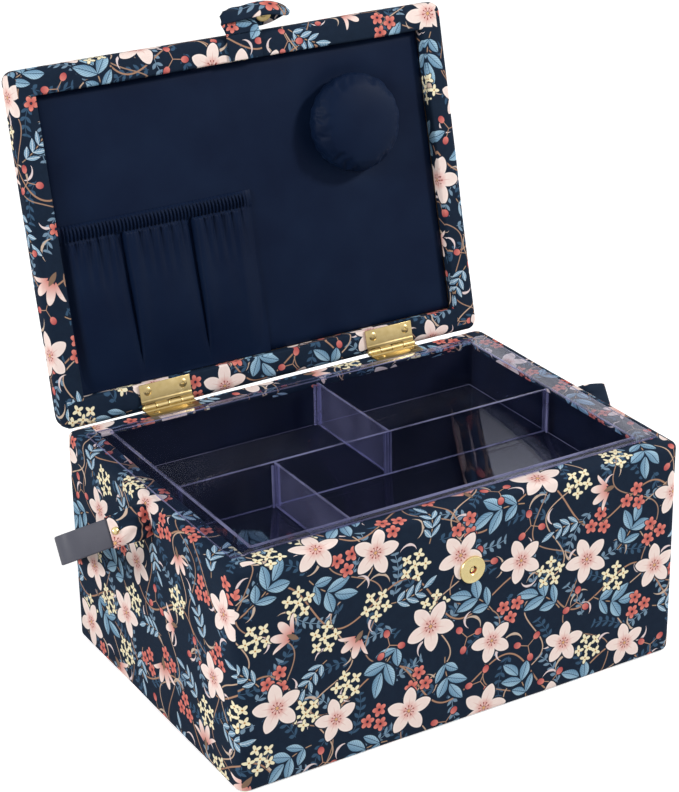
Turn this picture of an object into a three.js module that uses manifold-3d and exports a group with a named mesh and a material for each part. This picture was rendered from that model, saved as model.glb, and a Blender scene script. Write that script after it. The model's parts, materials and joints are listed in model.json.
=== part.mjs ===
// A cloth covered sewing box, its lid open: boards in a padded printed skin, a navy lining, a lid
// with a padded panel, pocket and pincushion, two brass hinges, a lift-out clear tray with three
// dividers, a strap handle and a snap clasp. Millimetres, +Z up, the front towards -Y.
import * as THREE from 'three';
import { mergeVertices } from 'three/addons/utils/BufferGeometryUtils.js';
import Module from 'manifold-3d';

const wasm = await Module();
wasm.setup();

// Box
const boxWidth = 260;
const boxDepth = 185;
const boxHeight = 121;
const cornerRound = 6;
const boxEdge = 3;
const clothSkin = 1.2;
const liningSkin = 0.8;
const wallBoard = 11.5;
const floorBoard = 4;
const fit = 0.3;
const overrun = 2;

// Lid, measured closed
const lidDepth = 187;
const lidThickness = 13;
const lidCrown = 8;
const lidEdge = 4;
const lidGap = 3.2;
const lidRim = 14;
const lidBoard = 3;
const openDegrees = 102.8;

// Padded panel in the lid, with its pocket and pincushion
const panelRecess = 5.5;
const panelCrown = 1;
const panelSoftEdge = 1.2;
const pocketWidth = 114;
const pocketHeight = 80;
const pocketCloth = 0.9;
const pocketPuff = 3.4;
const pocketBandHeight = 9;
const pocketBandPuff = 2.1;
const gatherDepth = 0.5;
const gatherCount = 36;
const pincushionRadius = 27.6;
const pincushionHeight = 16;
const pincushionIn = 64.8;
const pincushionDown = 57.4;

// Hinges
const hingeIn = 60;
const hingeLength = 30;
const leafThickness = 0.8;
const baseLeafReach = 10.2;
const lidLeafReach = 12.7;
const knuckleRadius = 1.8;
const pinRadius = 0.7;
const pinFit = 0.08;
const pinInset = 1.2;
const knuckleCount = 4;
const screwSpacing = 21;
const screwHead = 2.2;
const screwHeadHeight = 0.32;
const screwSeat = 0.1;
const screwShank = 1;
const screwLength = 7;
const baseScrewBack = 6.4;
const lidScrewBack = 8.7;

// Tray
const trayPlaySide = 3.7;
const trayPlayFront = 0.7;
const trayPlayBack = 3.7;
const trayDeep = 25.5;
const trayWall = 1.4;
const flangeSide = 13;
const flangeFront = 4.6;
const flangeBack = 6.2;
const flangeThickness = 1.3;
const flangeRound = 5;
const dividerThickness = 1.5;
const dividerShort = 0.2;
const dividerPlay = 0.8;
const guideRib = 1.2;
const backCrossShare = 0.1;
const frontCrossShare = -0.514;

// Snap and clasp tab
const snapSide = 2.5;
const snapDown = 36;
const snapRadius = 7.3;
const snapThickness = 1.6;
const snapHole = 2;
const snapStem = 2;
const snapStemLength = 5;
const tabSide = 5;
const tabWidth = 20;
const tabThickness = 1;
const tabCapRadius = 5.2;
const tabCapThickness = 1.5;

// Handle
const handleDown = 9.8;
const handleForward = 5;
const handleDroop = 31;
const handleBackGap = 0.8;
const handleReachLeft = 46.4;
const handleReachRight = 21;
const handleBend = 9;
const handleCorner = 10.4;
const handleOut = 1.5;
const handleSag = 0.075;
const strapWidth = 14.4;
const strapThickness = 1.8;
const sleeveCloth = 0.6;
const sleeveStub = 5;
const sleeveLeft = 21;
const sleeveRight = 33;
const rivetLeft = 18.2;
const rivetRight = 29.5;
const rivetShank = 1.2;
const rivetHead = 2.1;
const rivetDome = 1.2;
const rivetTail = 0.8;

// Counts of facets
const cornerSteps = 5;
const edgeSteps = 3;
const roundSides = 20;
const smallSides = 12;
const strapEndSteps = 24;
const strapMiddleSteps = 72;
const weld = 1e-4;

const rad = THREE.MathUtils.degToRad;
const halfWidth = boxWidth / 2;
const halfDepth = boxDepth / 2;

// A closed geometry as a solid that can be joined and cut
function solid(geometry) {
  const bare = new THREE.BufferGeometry();
  bare.setAttribute('position', geometry.getAttribute('position').clone());
  bare.setIndex(geometry.getIndex());
  const joined = mergeVertices(bare, weld);
  const corners = joined.getIndex().array;
  const kept = [];
  for (let i = 0; i < corners.length; i += 3) {
    const [a, b, c] = corners.slice(i, i + 3);
    if (a !== b && b !== c && c !== a) kept.push(a, b, c);
  }
  return new wasm.Manifold(new wasm.Mesh({
    numProp: 3,
    vertProperties: new Float32Array(joined.getAttribute('position').array),
    triVerts: new Uint32Array(kept),
  }));
}

// A solid as a mesh geometry
function geometryOf(body) {
  const mesh = body.getMesh();
  const geometry = new THREE.BufferGeometry();
  geometry.setAttribute('position', new THREE.BufferAttribute(new Float32Array(mesh.vertProperties), 3));
  geometry.setIndex(new THREE.BufferAttribute(new Uint32Array(mesh.triVerts), 1));
  geometry.computeVertexNormals();
  return geometry;
}

// A plain block between two corners
function block(x0, x1, y0, y1, z0, z1) {
  const geometry = new THREE.BoxGeometry(x1 - x0, y1 - y0, z1 - z0);
  geometry.translate((x0 + x1) / 2, (y0 + y1) / 2, (z0 + z1) / 2);
  return solid(geometry);
}

// The outline of a rectangle with round corners
function roundRectangle(x0, x1, y0, y1, radius) {
  const centres = [[x1 - radius, y1 - radius], [x0 + radius, y1 - radius],
    [x0 + radius, y0 + radius], [x1 - radius, y0 + radius]];
  const points = centres.flatMap(([cx, cy], quarter) => Array.from({ length: cornerSteps + 1 }, (_, i) => {
    const angle = (quarter + i / cornerSteps) * Math.PI / 2;
    return new THREE.Vector2(cx + radius * Math.cos(angle), cy + radius * Math.sin(angle));
  }));
  return new THREE.Shape(points);
}

// A slab with round upright corners and, where edge isn't zero, round top and bottom edges
function slab(x0, x1, y0, y1, z0, z1, corner, edge) {
  const outline = roundRectangle(x0 + edge, x1 - edge, y0 + edge, y1 - edge, corner - edge);
  const geometry = new THREE.ExtrudeGeometry(outline, {
    depth: z1 - z0 - 2 * edge,
    bevelEnabled: edge > 0,
    bevelSize: edge,
    bevelThickness: edge,
    bevelSegments: edgeSteps,
  });
  geometry.translate(0, 0, z0 + edge);
  return solid(geometry);
}

// The same slab taken in by an equal distance all round
function inset(sides, corner, edge, distance) {
  const [x0, x1, y0, y1, z0, z1] = sides.map((side, i) => side + (i % 2 === 0 ? distance : -distance));
  return slab(x0, x1, y0, y1, z0, z1, corner - distance, edge - distance);
}

// A cylinder between two points
function rod(from, to, radius, sides) {
  const axis = to.clone().sub(from);
  const geometry = new THREE.CylinderGeometry(radius, radius, axis.length(), sides);
  geometry.applyQuaternion(new THREE.Quaternion().setFromUnitVectors(
    new THREE.Vector3(0, 1, 0), axis.clone().normalize()));
  const middle = from.clone().add(to).multiplyScalar(1 / 2);
  geometry.translate(middle.x, middle.y, middle.z);
  return solid(geometry);
}

// A turned piece: its profile of [radius, height] spun about the line from a place along a direction
function turned(profile, place, direction, sides) {
  const geometry = new THREE.LatheGeometry(profile.map(([r, h]) => new THREE.Vector2(r, h)), sides);
  geometry.applyQuaternion(new THREE.Quaternion().setFromUnitVectors(new THREE.Vector3(0, 1, 0), direction));
  geometry.translate(place.x, place.y, place.z);
  return solid(geometry);
}

// A soft slab over a grid: low and high give the two faces as heights
function quilt(xs, ys, low, high) {
  const points = [];
  for (const face of [low, high]) {
    for (const y of ys) {
      for (const x of xs) points.push(x, y, face(x, y));
    }
  }
  const across = xs.length;
  const layer = across * ys.length;
  const faces = [];
  const quad = (a, b, c, d) => faces.push(a, b, c, a, c, d);
  for (let j = 0; j + 1 < ys.length; j += 1) {
    for (let i = 0; i + 1 < across; i += 1) {
      const at = j * across + i;
      quad(at, at + across, at + across + 1, at + 1);
      quad(layer + at, layer + at + 1, layer + at + across + 1, layer + at + across);
    }
  }
  for (let i = 0; i + 1 < across; i += 1) {
    const far = layer - across + i;
    quad(i, i + 1, layer + i + 1, layer + i);
    quad(far + 1, far, layer + far, layer + far + 1);
  }
  for (let j = 0; j + 1 < ys.length; j += 1) {
    const near = j * across;
    const far = near + across - 1;
    quad(near + across, near, layer + near, layer + near + across);
    quad(far, far + across, layer + far + across, layer + far);
  }
  const geometry = new THREE.BufferGeometry();
  geometry.setAttribute('position', new THREE.Float32BufferAttribute(points, 3));
  geometry.setIndex(faces);
  return solid(geometry);
}

// A flat band through stations, each a rectangle given by its centre, half width and half thickness
function band(stations) {
  const points = stations.flatMap(({ centre, wide, thick }) => [
    [-1, -1], [1, -1], [1, 1], [-1, 1],
  ].flatMap(([a, b]) => centre.clone().addScaledVector(wide, a).addScaledVector(thick, b).toArray()));
  const faces = [0, 2, 1, 0, 3, 2];
  const last = 4 * (stations.length - 1);
  faces.push(last, last + 1, last + 2, last, last + 2, last + 3);
  for (let s = 0; s + 1 < stations.length; s += 1) {
    for (let k = 0; k < 4; k += 1) {
      const a = 4 * s + k;
      const b = 4 * s + (k + 1) % 4;
      faces.push(a, b, b + 4, a, b + 4, a + 4);
    }
  }
  const geometry = new THREE.BufferGeometry();
  geometry.setAttribute('position', new THREE.Float32BufferAttribute(points, 3));
  geometry.setIndex(faces);
  return solid(geometry);
}

const steps = (from, to, count) => Array.from({ length: count + 1 }, (_, i) => from + (to - from) * i / count);
const vector = (x, y, z) => new THREE.Vector3(x, y, z);

const materials = {
  print: new THREE.MeshStandardMaterial({ color: 0x24324a, roughness: 0.85, metalness: 0 }),
  navy: new THREE.MeshStandardMaterial({ color: 0x16233f, roughness: 0.6, metalness: 0 }),
  clear: new THREE.MeshStandardMaterial({ color: 0x5b5f86, roughness: 0.1, metalness: 0 }),
  brass: new THREE.MeshStandardMaterial({ color: 0xc9b078, roughness: 0.3, metalness: 1 }),
  strap: new THREE.MeshStandardMaterial({ color: 0x62626c, roughness: 0.5, metalness: 0 }),
  board: new THREE.MeshStandardMaterial({ color: 0xa88a63, roughness: 0.8, metalness: 0 }),
};

function piece(parent, name, body, material) {
  const mesh = new THREE.Mesh(geometryOf(body), materials[material]);
  mesh.name = name;
  parent.add(mesh);
}

const box = new THREE.Group();
box.name = 'sewing_box';

// The pin line of both hinges, about which the lid turns
const pinY = halfDepth - pinInset;
const pinUp = lidGap / 2;
const lid = new THREE.Group();
lid.name = 'lid';
lid.position.set(0, pinY, boxHeight + pinUp);
lid.rotation.x = -rad(openDegrees);
box.add(lid);

// Screws of the hinges: each is a place and the way its shank points, in its own frame
const hingeSides = { left: hingeIn - halfWidth, right: halfWidth - hingeIn };
const screwEnds = { outer: -screwSpacing / 2, inner: screwSpacing / 2 };
function screwPlaces(back, height) {
  return Object.entries(hingeSides).flatMap(([side, x]) => Object.entries(screwEnds).map(([end, shift]) => ({
    name: `${side}_${end}`,
    place: vector(x + Math.sign(x) * -shift, -back, height),
  })));
}
const leafLow = pinUp - fit - leafThickness;
const leafHigh = pinUp - fit;
const baseScrews = screwPlaces(baseScrewBack, -leafLow);
const lidScrews = screwPlaces(lidScrewBack, leafLow);
const down = vector(0, 0, -1);
const up = vector(0, 0, 1);

// The room that a screw's shank takes in what it is driven into
function screwHole(place, into) {
  return rod(place.clone().addScaledVector(into, -overrun),
    place.clone().addScaledVector(into, screwLength + fit), screwShank + fit, smallSides);
}

function screw(place, into) {
  const out = into.clone().negate();
  const lift = screwSeat;
  return turned([
    [0, -screwLength], [screwShank, -screwLength + screwShank], [screwShank, lift], [screwHead, lift],
    [screwHead, lift + screwHeadHeight / 2], [screwHead / 2, lift + screwHeadHeight], [0, lift + screwHeadHeight],
  ], place, out, smallSides);
}

const cutAll = (body, cutters) => cutters.reduce((left, cutter) => left.subtract(cutter), body);

// Screw places of the base leaves, moved from the pin line to the box's frame
const baseScrewPlaces = baseScrews.map(({ name, place }) => ({
  name, place: place.clone().add(vector(0, pinY, boxHeight + pinUp)),
}));

// Box: boards
const outerX = halfWidth - clothSkin - fit;
const outerY = halfDepth - clothSkin - fit;
const innerX = outerX - wallBoard;
const innerY = outerY - wallBoard;
const boardLow = clothSkin + fit;
const wallLow = boardLow + floorBoard + fit;
const wallHigh = boxHeight - clothSkin - fit;
const openX = innerX - fit - liningSkin;
const openY = innerY - fit - liningSkin;

const snapPlace = vector(snapSide, -halfDepth, boxHeight - snapDown);
const snapCut = rod(snapPlace.clone().add(vector(0, -overrun, 0)),
  snapPlace.clone().add(vector(0, snapStemLength + fit, 0)), snapStem + fit, smallSides);
const baseScrewCuts = baseScrewPlaces.map(({ place }) => screwHole(place, down));

function makeBox() {
  const sides = [-halfWidth, halfWidth, -halfDepth, halfDepth, 0, boxHeight];
  const room = inset(sides, cornerRound, boxEdge, clothSkin + fit);
  const board = (...corners) => block(...corners).intersect(room);
  piece(box, 'bottom_board', board(-outerX, outerX, -outerY, outerY, boardLow, boardLow + floorBoard), 'board');
  const front = board(-outerX, outerX, -outerY, -innerY, wallLow, wallHigh);
  piece(box, 'front_board', front.subtract(snapCut), 'board');
  const back = board(-outerX, outerX, innerY, outerY, wallLow, wallHigh);
  piece(box, 'back_board', cutAll(back, baseScrewCuts), 'board');
  for (const [side, name] of [[-1, 'left_board'], [1, 'right_board']]) {
    const [x0, x1] = [side * innerX, side * outerX].sort((a, b) => a - b);
    piece(box, name, board(x0, x1, -innerY + fit, innerY - fit, wallLow, wallHigh), 'board');
  }
  const skin = slab(...sides, cornerRound, boxEdge)
    .subtract(inset(sides, cornerRound, boxEdge, clothSkin))
    .subtract(block(-openX, openX, -openY, openY, boxHeight / 2, boxHeight + overrun));
  piece(box, 'box_cover', cutAll(skin, [snapCut, ...baseScrewCuts]), 'print');
  const liningLow = wallLow;
  const lining = block(-innerX + fit, innerX - fit, -innerY + fit, innerY - fit, liningLow, wallHigh)
    .subtract(block(-openX, openX, -openY, openY, liningLow + liningSkin, wallHigh + overrun));
  piece(box, 'box_lining', lining, 'navy');
}

// Snap half on the front, a ring on a stem
function makeSnap() {
  const out = vector(0, -1, 0);
  const lift = fit / 2;
  const rim = snapThickness / 4;
  const dish = snapThickness / 2;
  const body = turned([
    [0, -snapStemLength], [snapStem, -snapStemLength], [snapStem, lift], [snapRadius, lift],
    [snapRadius, snapThickness - rim], [snapRadius - rim, snapThickness],
    [snapHole, snapThickness], [snapHole, dish], [0, dish],
  ], snapPlace, out, roundSides);
  piece(box, 'snap_front_half', body, 'brass');
}

// Hinges
const knucklePitch = hingeLength / knuckleCount;
function leaf(centreX, reach, side, screws, odd) {
  const bridge = knuckleRadius + fit;
  const low = side > 0 ? leafLow : -leafHigh;
  const high = side > 0 ? leafHigh : -leafLow;
  const start = centreX - hingeLength / 2;
  let body = block(start, start + hingeLength, -reach, -bridge, low, high);
  const bore = pinRadius + pinFit;
  const insideRing = (knuckleRadius + bore) / 2;
  for (let i = 0; i < knuckleCount; i += 1) {
    if ((i % 2 === 1) === odd) {
      const x0 = start + i * knucklePitch + fit / 2;
      const x1 = start + (i + 1) * knucklePitch - fit / 2;
      const ring = rod(vector(x0, 0, 0), vector(x1, 0, 0), knuckleRadius, roundSides);
      body = body.add(ring).add(block(x0, x1, -bridge - fit, -insideRing, low, high));
    }
  }
  body = body.subtract(rod(vector(start - overrun, 0, 0), vector(start + hingeLength + overrun, 0, 0),
    bore, roundSides));
  const through = leafThickness + overrun;
  for (const { place } of screws) {
    body = body.subtract(rod(place.clone().addScaledVector(up, -through),
      place.clone().addScaledVector(up, through), screwShank + fit, smallSides));
  }
  return body;
}

function makeHinges() {
  const toBox = vector(0, pinY, boxHeight + pinUp);
  for (const [side, x] of Object.entries(hingeSides)) {
    const own = (list) => list.filter(({ name }) => name.startsWith(side));
    const base = leaf(x, baseLeafReach, -1, own(baseScrews), false).translate(toBox.toArray());
    piece(box, `${side}_hinge_base_leaf`, base, 'brass');
    piece(lid, `${side}_hinge_lid_leaf`, leaf(x, lidLeafReach, 1, own(lidScrews), true), 'brass');
    const half = hingeLength / 2;
    const pin = rod(vector(x - half, pinY, toBox.z), vector(x + half, pinY, toBox.z), pinRadius, smallSides);
    piece(box, `${side}_hinge_pin`, pin, 'brass');
  }
  for (const { name, place } of baseScrewPlaces) piece(box, `base_screw_${name}`, screw(place, down), 'brass');
  for (const { name, place } of lidScrews) piece(lid, `lid_screw_${name}`, screw(place, up), 'brass');
}

// Lid, in the frame of the pin line with the lid closed: distances up the lid run towards -Y
const lidY = (distance) => pinInset - distance;
const lidFace = pinUp;
const lidTop = lidFace + lidThickness;
const openingX = halfWidth - lidRim;
const panelHigh = lidDepth - lidRim;
const railLow = lidFace + clothSkin + fit;
const boardHigh = lidTop - clothSkin - fit;
const railHigh = boardHigh - lidBoard - fit;
const panelBack = railHigh;
const panelFace = lidFace + panelRecess;

// The height of the padded panel's crown at a place on it, and of its face, which falls at the edges
function panelCrest(x, y) {
  const acrossShare = x / openingX;
  const alongShare = (y - lidY(lidDepth / 2)) / (panelHigh / 2 - lidRim / 2);
  return panelFace - panelCrown * (1 - acrossShare ** 4) * (1 - alongShare ** 4);
}
function panelSurface(x, y) {
  const edge = Math.min(openingX - Math.abs(x), lidY(lidRim) - y, y - lidY(panelHigh));
  return panelCrest(x, y) + panelSoftEdge * Math.exp(-edge / panelSoftEdge);
}

function makeLid() {
  const sides = [-halfWidth, halfWidth, lidY(lidDepth), lidY(0), lidFace, lidTop];
  const skin = slab(...sides, cornerRound, lidEdge);
  const room = inset(sides, cornerRound, lidEdge, clothSkin + fit);
  const board = (...corners) => block(...corners).intersect(room);
  const crownX = halfWidth - lidEdge;
  const crownNear = lidY(lidEdge);
  const crownFar = lidY(lidDepth - lidEdge);
  const crownY = (crownNear + crownFar) / 2;
  const crownTop = (x, y) => lidTop + lidCrown * (1 - (x / crownX) ** 4)
    * (1 - ((y - crownY) / (crownNear - crownY)) ** 4);
  const dome = quilt(steps(-crownX, crownX, 22), steps(crownFar, crownNear, 16), () => boardHigh, crownTop);
  const hollow = inset(sides, cornerRound, lidEdge, clothSkin);
  const opening = block(-openingX, openingX, lidY(panelHigh), lidY(lidRim), lidFace - overrun, lidTop / 2);
  const lip = openingX + clothSkin;
  const ring = block(-lip, lip, lidY(panelHigh + clothSkin), lidY(lidRim - clothSkin), lidFace, railHigh - fit)
    .subtract(block(-openingX, openingX, lidY(panelHigh), lidY(lidRim), lidFace - overrun, lidTop));
  const screwCuts = lidScrews.map(({ place }) => screwHole(place, up));
  const cover = skin.add(dome).subtract(hollow).subtract(opening).add(ring);
  piece(lid, 'lid_cover', cutAll(cover, screwCuts), 'print');

  const near = lidY(clothSkin + fit);
  const far = lidY(lidDepth - clothSkin - fit);
  piece(lid, 'lid_board', board(-outerX, outerX, far, near, boardHigh - lidBoard, boardHigh), 'board');
  const railX = openingX + clothSkin + fit;
  const railNear = lidY(lidRim - clothSkin - fit);
  const railFar = lidY(panelHigh + clothSkin + fit);
  const backRail = board(-outerX, outerX, railNear, near, railLow, railHigh);
  piece(lid, 'lid_back_rail', cutAll(backRail, screwCuts), 'board');
  piece(lid, 'lid_front_rail', board(-outerX, outerX, far, railFar, railLow, railHigh), 'board');
  for (const [side, name] of [[-1, 'lid_left_rail'], [1, 'lid_right_rail']]) {
    const [x0, x1] = [side * railX, side * outerX].sort((a, b) => a - b);
    piece(lid, name, board(x0, x1, railFar + fit, railNear - fit, railLow, railHigh), 'board');
  }
}

// Padded panel, with its pocket, the pocket's gathered band and the pincushion
function makeLidLining() {
  const halfX = openingX - fit;
  const near = lidY(lidRim + fit);
  const far = lidY(panelHigh - fit);
  const easedSteps = (from, to, count) => steps(-1, 1, count).map((t) => (
    (from + to) / 2 + (to - from) / 2 * Math.sin(t * Math.PI / 2)));
  const panel = quilt(easedSteps(-halfX, halfX, 18), easedSteps(far, near, 14), panelSurface,
    () => panelBack - fit);
  piece(lid, 'lid_panel', panel, 'navy');

  const left = -halfX;
  const right = left + pocketWidth;
  const bottom = near;
  const top = bottom - pocketHeight;
  const foldShares = [0.33, 0.68];
  const puff = (x, y) => {
    const across = (x - left) / pocketWidth;
    const rise = (bottom - y) / pocketHeight;
    const sides = Math.min(1, across * 8, (1 - across) * 8);
    const folds = foldShares.map((share) => Math.exp(-(((across - share) / 0.035) ** 2)));
    const pinch = 1 - 0.75 * folds.reduce((sum, fold) => sum + fold, 0);
    const body = Math.sin(Math.PI / 2 * Math.min(1, rise * 2)) * (1 - 0.3 * rise);
    return pocketPuff * sides * pinch * body;
  };
  const pocketBack = (x, y) => panelCrest(x, y) - fit - puff(x, y);
  const pocket = quilt(steps(left, right, 34), steps(top, bottom, 10),
    (x, y) => pocketBack(x, y) - pocketCloth, pocketBack);
  piece(lid, 'lid_pocket', pocket, 'navy');

  const bandTop = top - fit - pocketBandHeight;
  const gather = (x) => gatherDepth * (1 + Math.cos((x - left) / pocketWidth * gatherCount * 2 * Math.PI)) / 2;
  const lift = (x) => pocketBandPuff * Math.min(1, (x - left) / pocketWidth * 8, (right - x) / pocketWidth * 8);
  const bandBack = (x, y) => panelCrest(x, y) - fit - lift(x);
  const bandFront = (x, y) => bandBack(x, y) - pocketCloth - gather(x);
  piece(lid, 'pocket_band', quilt(steps(left, right, 2 * gatherCount), steps(bandTop, top - fit, 2),
    bandFront, bandBack), 'navy');

  const seat = panelFace - panelCrown - fit;
  const shares = [[0, 0], [0.87, 0], [0.97, 0.15], [1, 0.3], [0.965, 0.5], [0.85, 0.7], [0.66, 0.86],
    [0.42, 0.955], [0.2, 0.99], [0, 1]];
  const profile = shares.map(([r, h]) => [r * pincushionRadius, h * (pincushionHeight - panelCrown - fit)]);
  piece(lid, 'pincushion', turned(profile, vector(halfWidth - pincushionIn, lidY(lidDepth - pincushionDown), seat), down, 28), 'navy');
}

// Clasp tab: its sewn end on the lid's rim, and the free flap folded to the right along the edge
function makeClasp() {
  const half = tabWidth / 2;
  const onFace = lidFace - fit;
  const anchorEnd = lidDepth - fit / 2;
  piece(lid, 'clasp_tab_end', block(tabSide - half, tabSide + half, lidY(anchorEnd), lidY(panelHigh + fit),
    onFace - tabThickness, onFace), 'print');

  // Stations of the flap: the inner and the outer edge as shares of the tab's width, from the
  // middle of its root: across, up the lid, and out towards the box. The free half is flat.
  const flapLeanStart = 0.55;
  const flapLean = 1.32;
  const stationShares = [
    [[0.5, 0, 0], [-0.5, 0, 0]],
    [[0.5, 0.1, 0.02], [-0.52, 0.12, -0.02]],
    [[0.5, 0.17, 0.08], [-0.52, 0.34, -0.12]],
    [[0.51, 0.2, 0.16], [-0.36, 0.58, -0.26]],
    ...[
      [[0.53, 0.21], [-0.06, 0.67]],
      [[0.62, 0.22], [0.36, 0.72]],
      [[0.84, 0.25], [0.78, 0.75]],
      [[1.1, 0.31], [1.1, 0.73]],
      [[1.36, 0.35], [1.36, 0.66]],
      [[1.52, 0.42], [1.52, 0.54]],
    ].map((pair) => pair.map(([across, rise]) => [across, rise, flapLeanStart - flapLean * rise])),
  ];
  const rootUp = lidDepth + fit / 2;
  const rootOut = onFace - tabThickness / 2;
  const place = ([across, rise, out]) => vector(tabSide + across * tabWidth, lidY(rootUp + rise * tabWidth),
    rootOut - out * tabWidth);
  const inner = new THREE.CatmullRomCurve3(stationShares.map(([a]) => place(a)));
  const outer = new THREE.CatmullRomCurve3(stationShares.map(([, b]) => place(b)));
  const count = 26;
  const middleAt = (t) => inner.getPoint(t).add(outer.getPoint(t)).multiplyScalar(1 / 2);
  const stations = steps(0, 1, count).map((t) => {
    const wide = outer.getPoint(t).sub(inner.getPoint(t)).multiplyScalar(1 / 2);
    const ahead = middleAt(Math.min(1, t + 1 / count)).sub(middleAt(Math.max(0, t - 1 / count)));
    const thick = ahead.cross(wide).normalize().multiplyScalar(tabThickness / 2);
    return { centre: middleAt(t), wide, thick };
  });
  piece(lid, 'clasp_tab', band(stations), 'print');

  const seat = stations[Math.round(count * 0.62)];
  const under = seat.thick.clone().normalize();
  if (under.y < 0) under.negate();
  const capCentre = seat.centre.clone().addScaledVector(seat.wide, -0.38)
    .addScaledVector(under, tabThickness / 2 + fit);
  const rim = tabCapThickness / 4;
  piece(lid, 'snap_tab_half', turned([
    [0, 0], [tabCapRadius, 0], [tabCapRadius, tabCapThickness - rim], [tabCapRadius - rim, tabCapThickness],
    [0, tabCapThickness],
  ], capCentre, under, roundSides), 'brass');
}

// Tray, its flange on the rim of the box
const trayTop = boxHeight + fit + flangeThickness;
const trayFloor = trayTop - trayDeep;
const trayHalfX = openX - trayPlaySide - trayWall;
const trayFront = -openY + trayPlayFront + trayWall;
const trayBack = openY - trayPlayBack - trayWall;
const trayMiddle = (trayFront + trayBack) / 2;
const traySlot = dividerThickness + 2 * fit;

// A pair of upright ribs that hold a divider's end: they stand on a face that looks along (dx, dy)
function guides(x, y, dx, dy, low, high) {
  const pair = [-1, 1].map((side) => {
    const near = side * traySlot / 2;
    const far = side * (traySlot / 2 + guideRib);
    const [a, b] = [near, far].sort((m, n) => m - n);
    const reach = [-overrun / 4, guideRib];
    if (dx !== 0) {
      const [x0, x1] = reach.map((r) => x + dx * r).sort((m, n) => m - n);
      return block(x0, x1, y + a, y + b, low, high);
    }
    const [y0, y1] = reach.map((r) => y + dy * r).sort((m, n) => m - n);
    return block(x + a, x + b, y0, y1, low, high);
  });
  return pair[0].add(pair[1]);
}

function makeTray() {
  const halfX = trayHalfX;
  const front = trayFront;
  const back = trayBack;
  const backCross = backCrossShare * halfX;
  const frontCross = frontCrossShare * halfX;
  const flange = slab(-halfX - flangeSide, halfX + flangeSide, front - flangeFront, back + flangeBack,
    trayTop - flangeThickness, trayTop, flangeRound, 0);
  const ribHigh = trayTop - flangeThickness;
  const sunk = trayFloor - trayWall / 2;
  const tray = block(-halfX - trayWall, halfX + trayWall, front - trayWall, back + trayWall,
    trayFloor - trayWall, trayTop - flangeThickness / 2)
    .add(flange)
    .subtract(block(-halfX, halfX, front, back, trayFloor, trayTop + overrun))
    .add(guides(-halfX, trayMiddle, 1, 0, sunk, ribHigh))
    .add(guides(halfX, trayMiddle, -1, 0, sunk, ribHigh))
    .add(guides(backCross, back, 0, -1, sunk, ribHigh))
    .add(guides(frontCross, front, 0, 1, sunk, ribHigh));
  piece(box, 'tray', tray, 'clear');

  const low = trayFloor + fit;
  const high = trayTop - dividerShort;
  const thick = dividerThickness / 2;
  const ribEnd = high - flangeThickness;
  const long = block(-halfX + fit, halfX - fit, trayMiddle - thick, trayMiddle + thick, low, high)
    .add(guides(backCross, trayMiddle + thick, 0, 1, low, ribEnd))
    .add(guides(frontCross, trayMiddle - thick, 0, -1, low, ribEnd));
  piece(box, 'tray_long_divider', long, 'clear');
  const gap = thick + fit;
  piece(box, 'tray_back_divider', block(backCross - thick, backCross + thick, trayMiddle + gap,
    back - dividerPlay, low, high), 'clear');
  piece(box, 'tray_front_divider', block(frontCross - thick, frontCross + thick, front + dividerPlay,
    trayMiddle - gap, low, high), 'clear');
}

// Handle: a strap bent in one plane that slopes down behind the box, its ends in cloth sleeves
const droop = rad(handleDroop);
const backward = vector(0, Math.cos(droop), -Math.sin(droop));
const widthways = vector(0, Math.sin(droop), Math.cos(droop));
const handleOrigin = vector(0, -handleForward, boxHeight - handleDown);
const handleRun = (halfDepth + handleForward + handleBackGap + strapWidth / 2 * Math.sin(droop))
  / Math.cos(droop) + strapThickness / 2;

function handlePath() {
  const wall = halfWidth + fit;
  const path = new THREE.Path();
  const left = -halfWidth - handleReachLeft;
  const right = halfWidth + handleReachRight;
  const turn = halfWidth + handleOut;
  const flare = handleOut;
  path.moveTo(-wall, 0);
  path.lineTo(left + handleBend, 0);
  path.quadraticCurveTo(left, 0, left + flare, handleBend);
  path.lineTo(-turn - flare, handleRun - handleCorner);
  path.quadraticCurveTo(-turn, handleRun, -turn + handleCorner, handleRun);
  path.lineTo(turn - handleCorner, handleRun);
  path.quadraticCurveTo(turn, handleRun, turn + flare, handleRun - handleCorner);
  path.lineTo(right - flare, handleBend);
  path.quadraticCurveTo(right, 0, right - handleBend, 0);
  path.lineTo(wall, 0);
  return path;
}

// A station of the strap at a distance along its path, with the side that looks outwards
function strapStation(path, distance, wide, thickness) {
  const share = distance / path.getLength();
  const point = path.getPointAt(share);
  const ahead = path.getTangentAt(share);
  const outward = vector(-ahead.y, 0, 0).addScaledVector(backward, ahead.x).normalize().negate();
  return {
    centre: handleOrigin.clone().add(vector(point.x, 0, 0)).addScaledVector(backward, point.y)
      .addScaledVector(widthways, -handleSag * Math.max(0, Math.abs(point.x) - halfWidth)),
    wide: widthways.clone().multiplyScalar(wide / 2),
    thick: outward.multiplyScalar(thickness / 2),
  };
}

// The strap, or what lies along it, between two distances: finer steps where the sleeves are
function strapBand(path, from, to, wide, thickness) {
  const length = path.getLength();
  const fine = sleeveRight + overrun;
  const marks = [...steps(0, fine, strapEndSteps), ...steps(fine, length - fine, strapMiddleSteps).slice(1, -1),
    ...steps(length - fine, length, strapEndSteps)];
  const between = [from, ...marks.filter((d) => d > from && d < to), to];
  return band(between.map((d) => strapStation(path, d, wide, thickness)));
}

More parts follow.
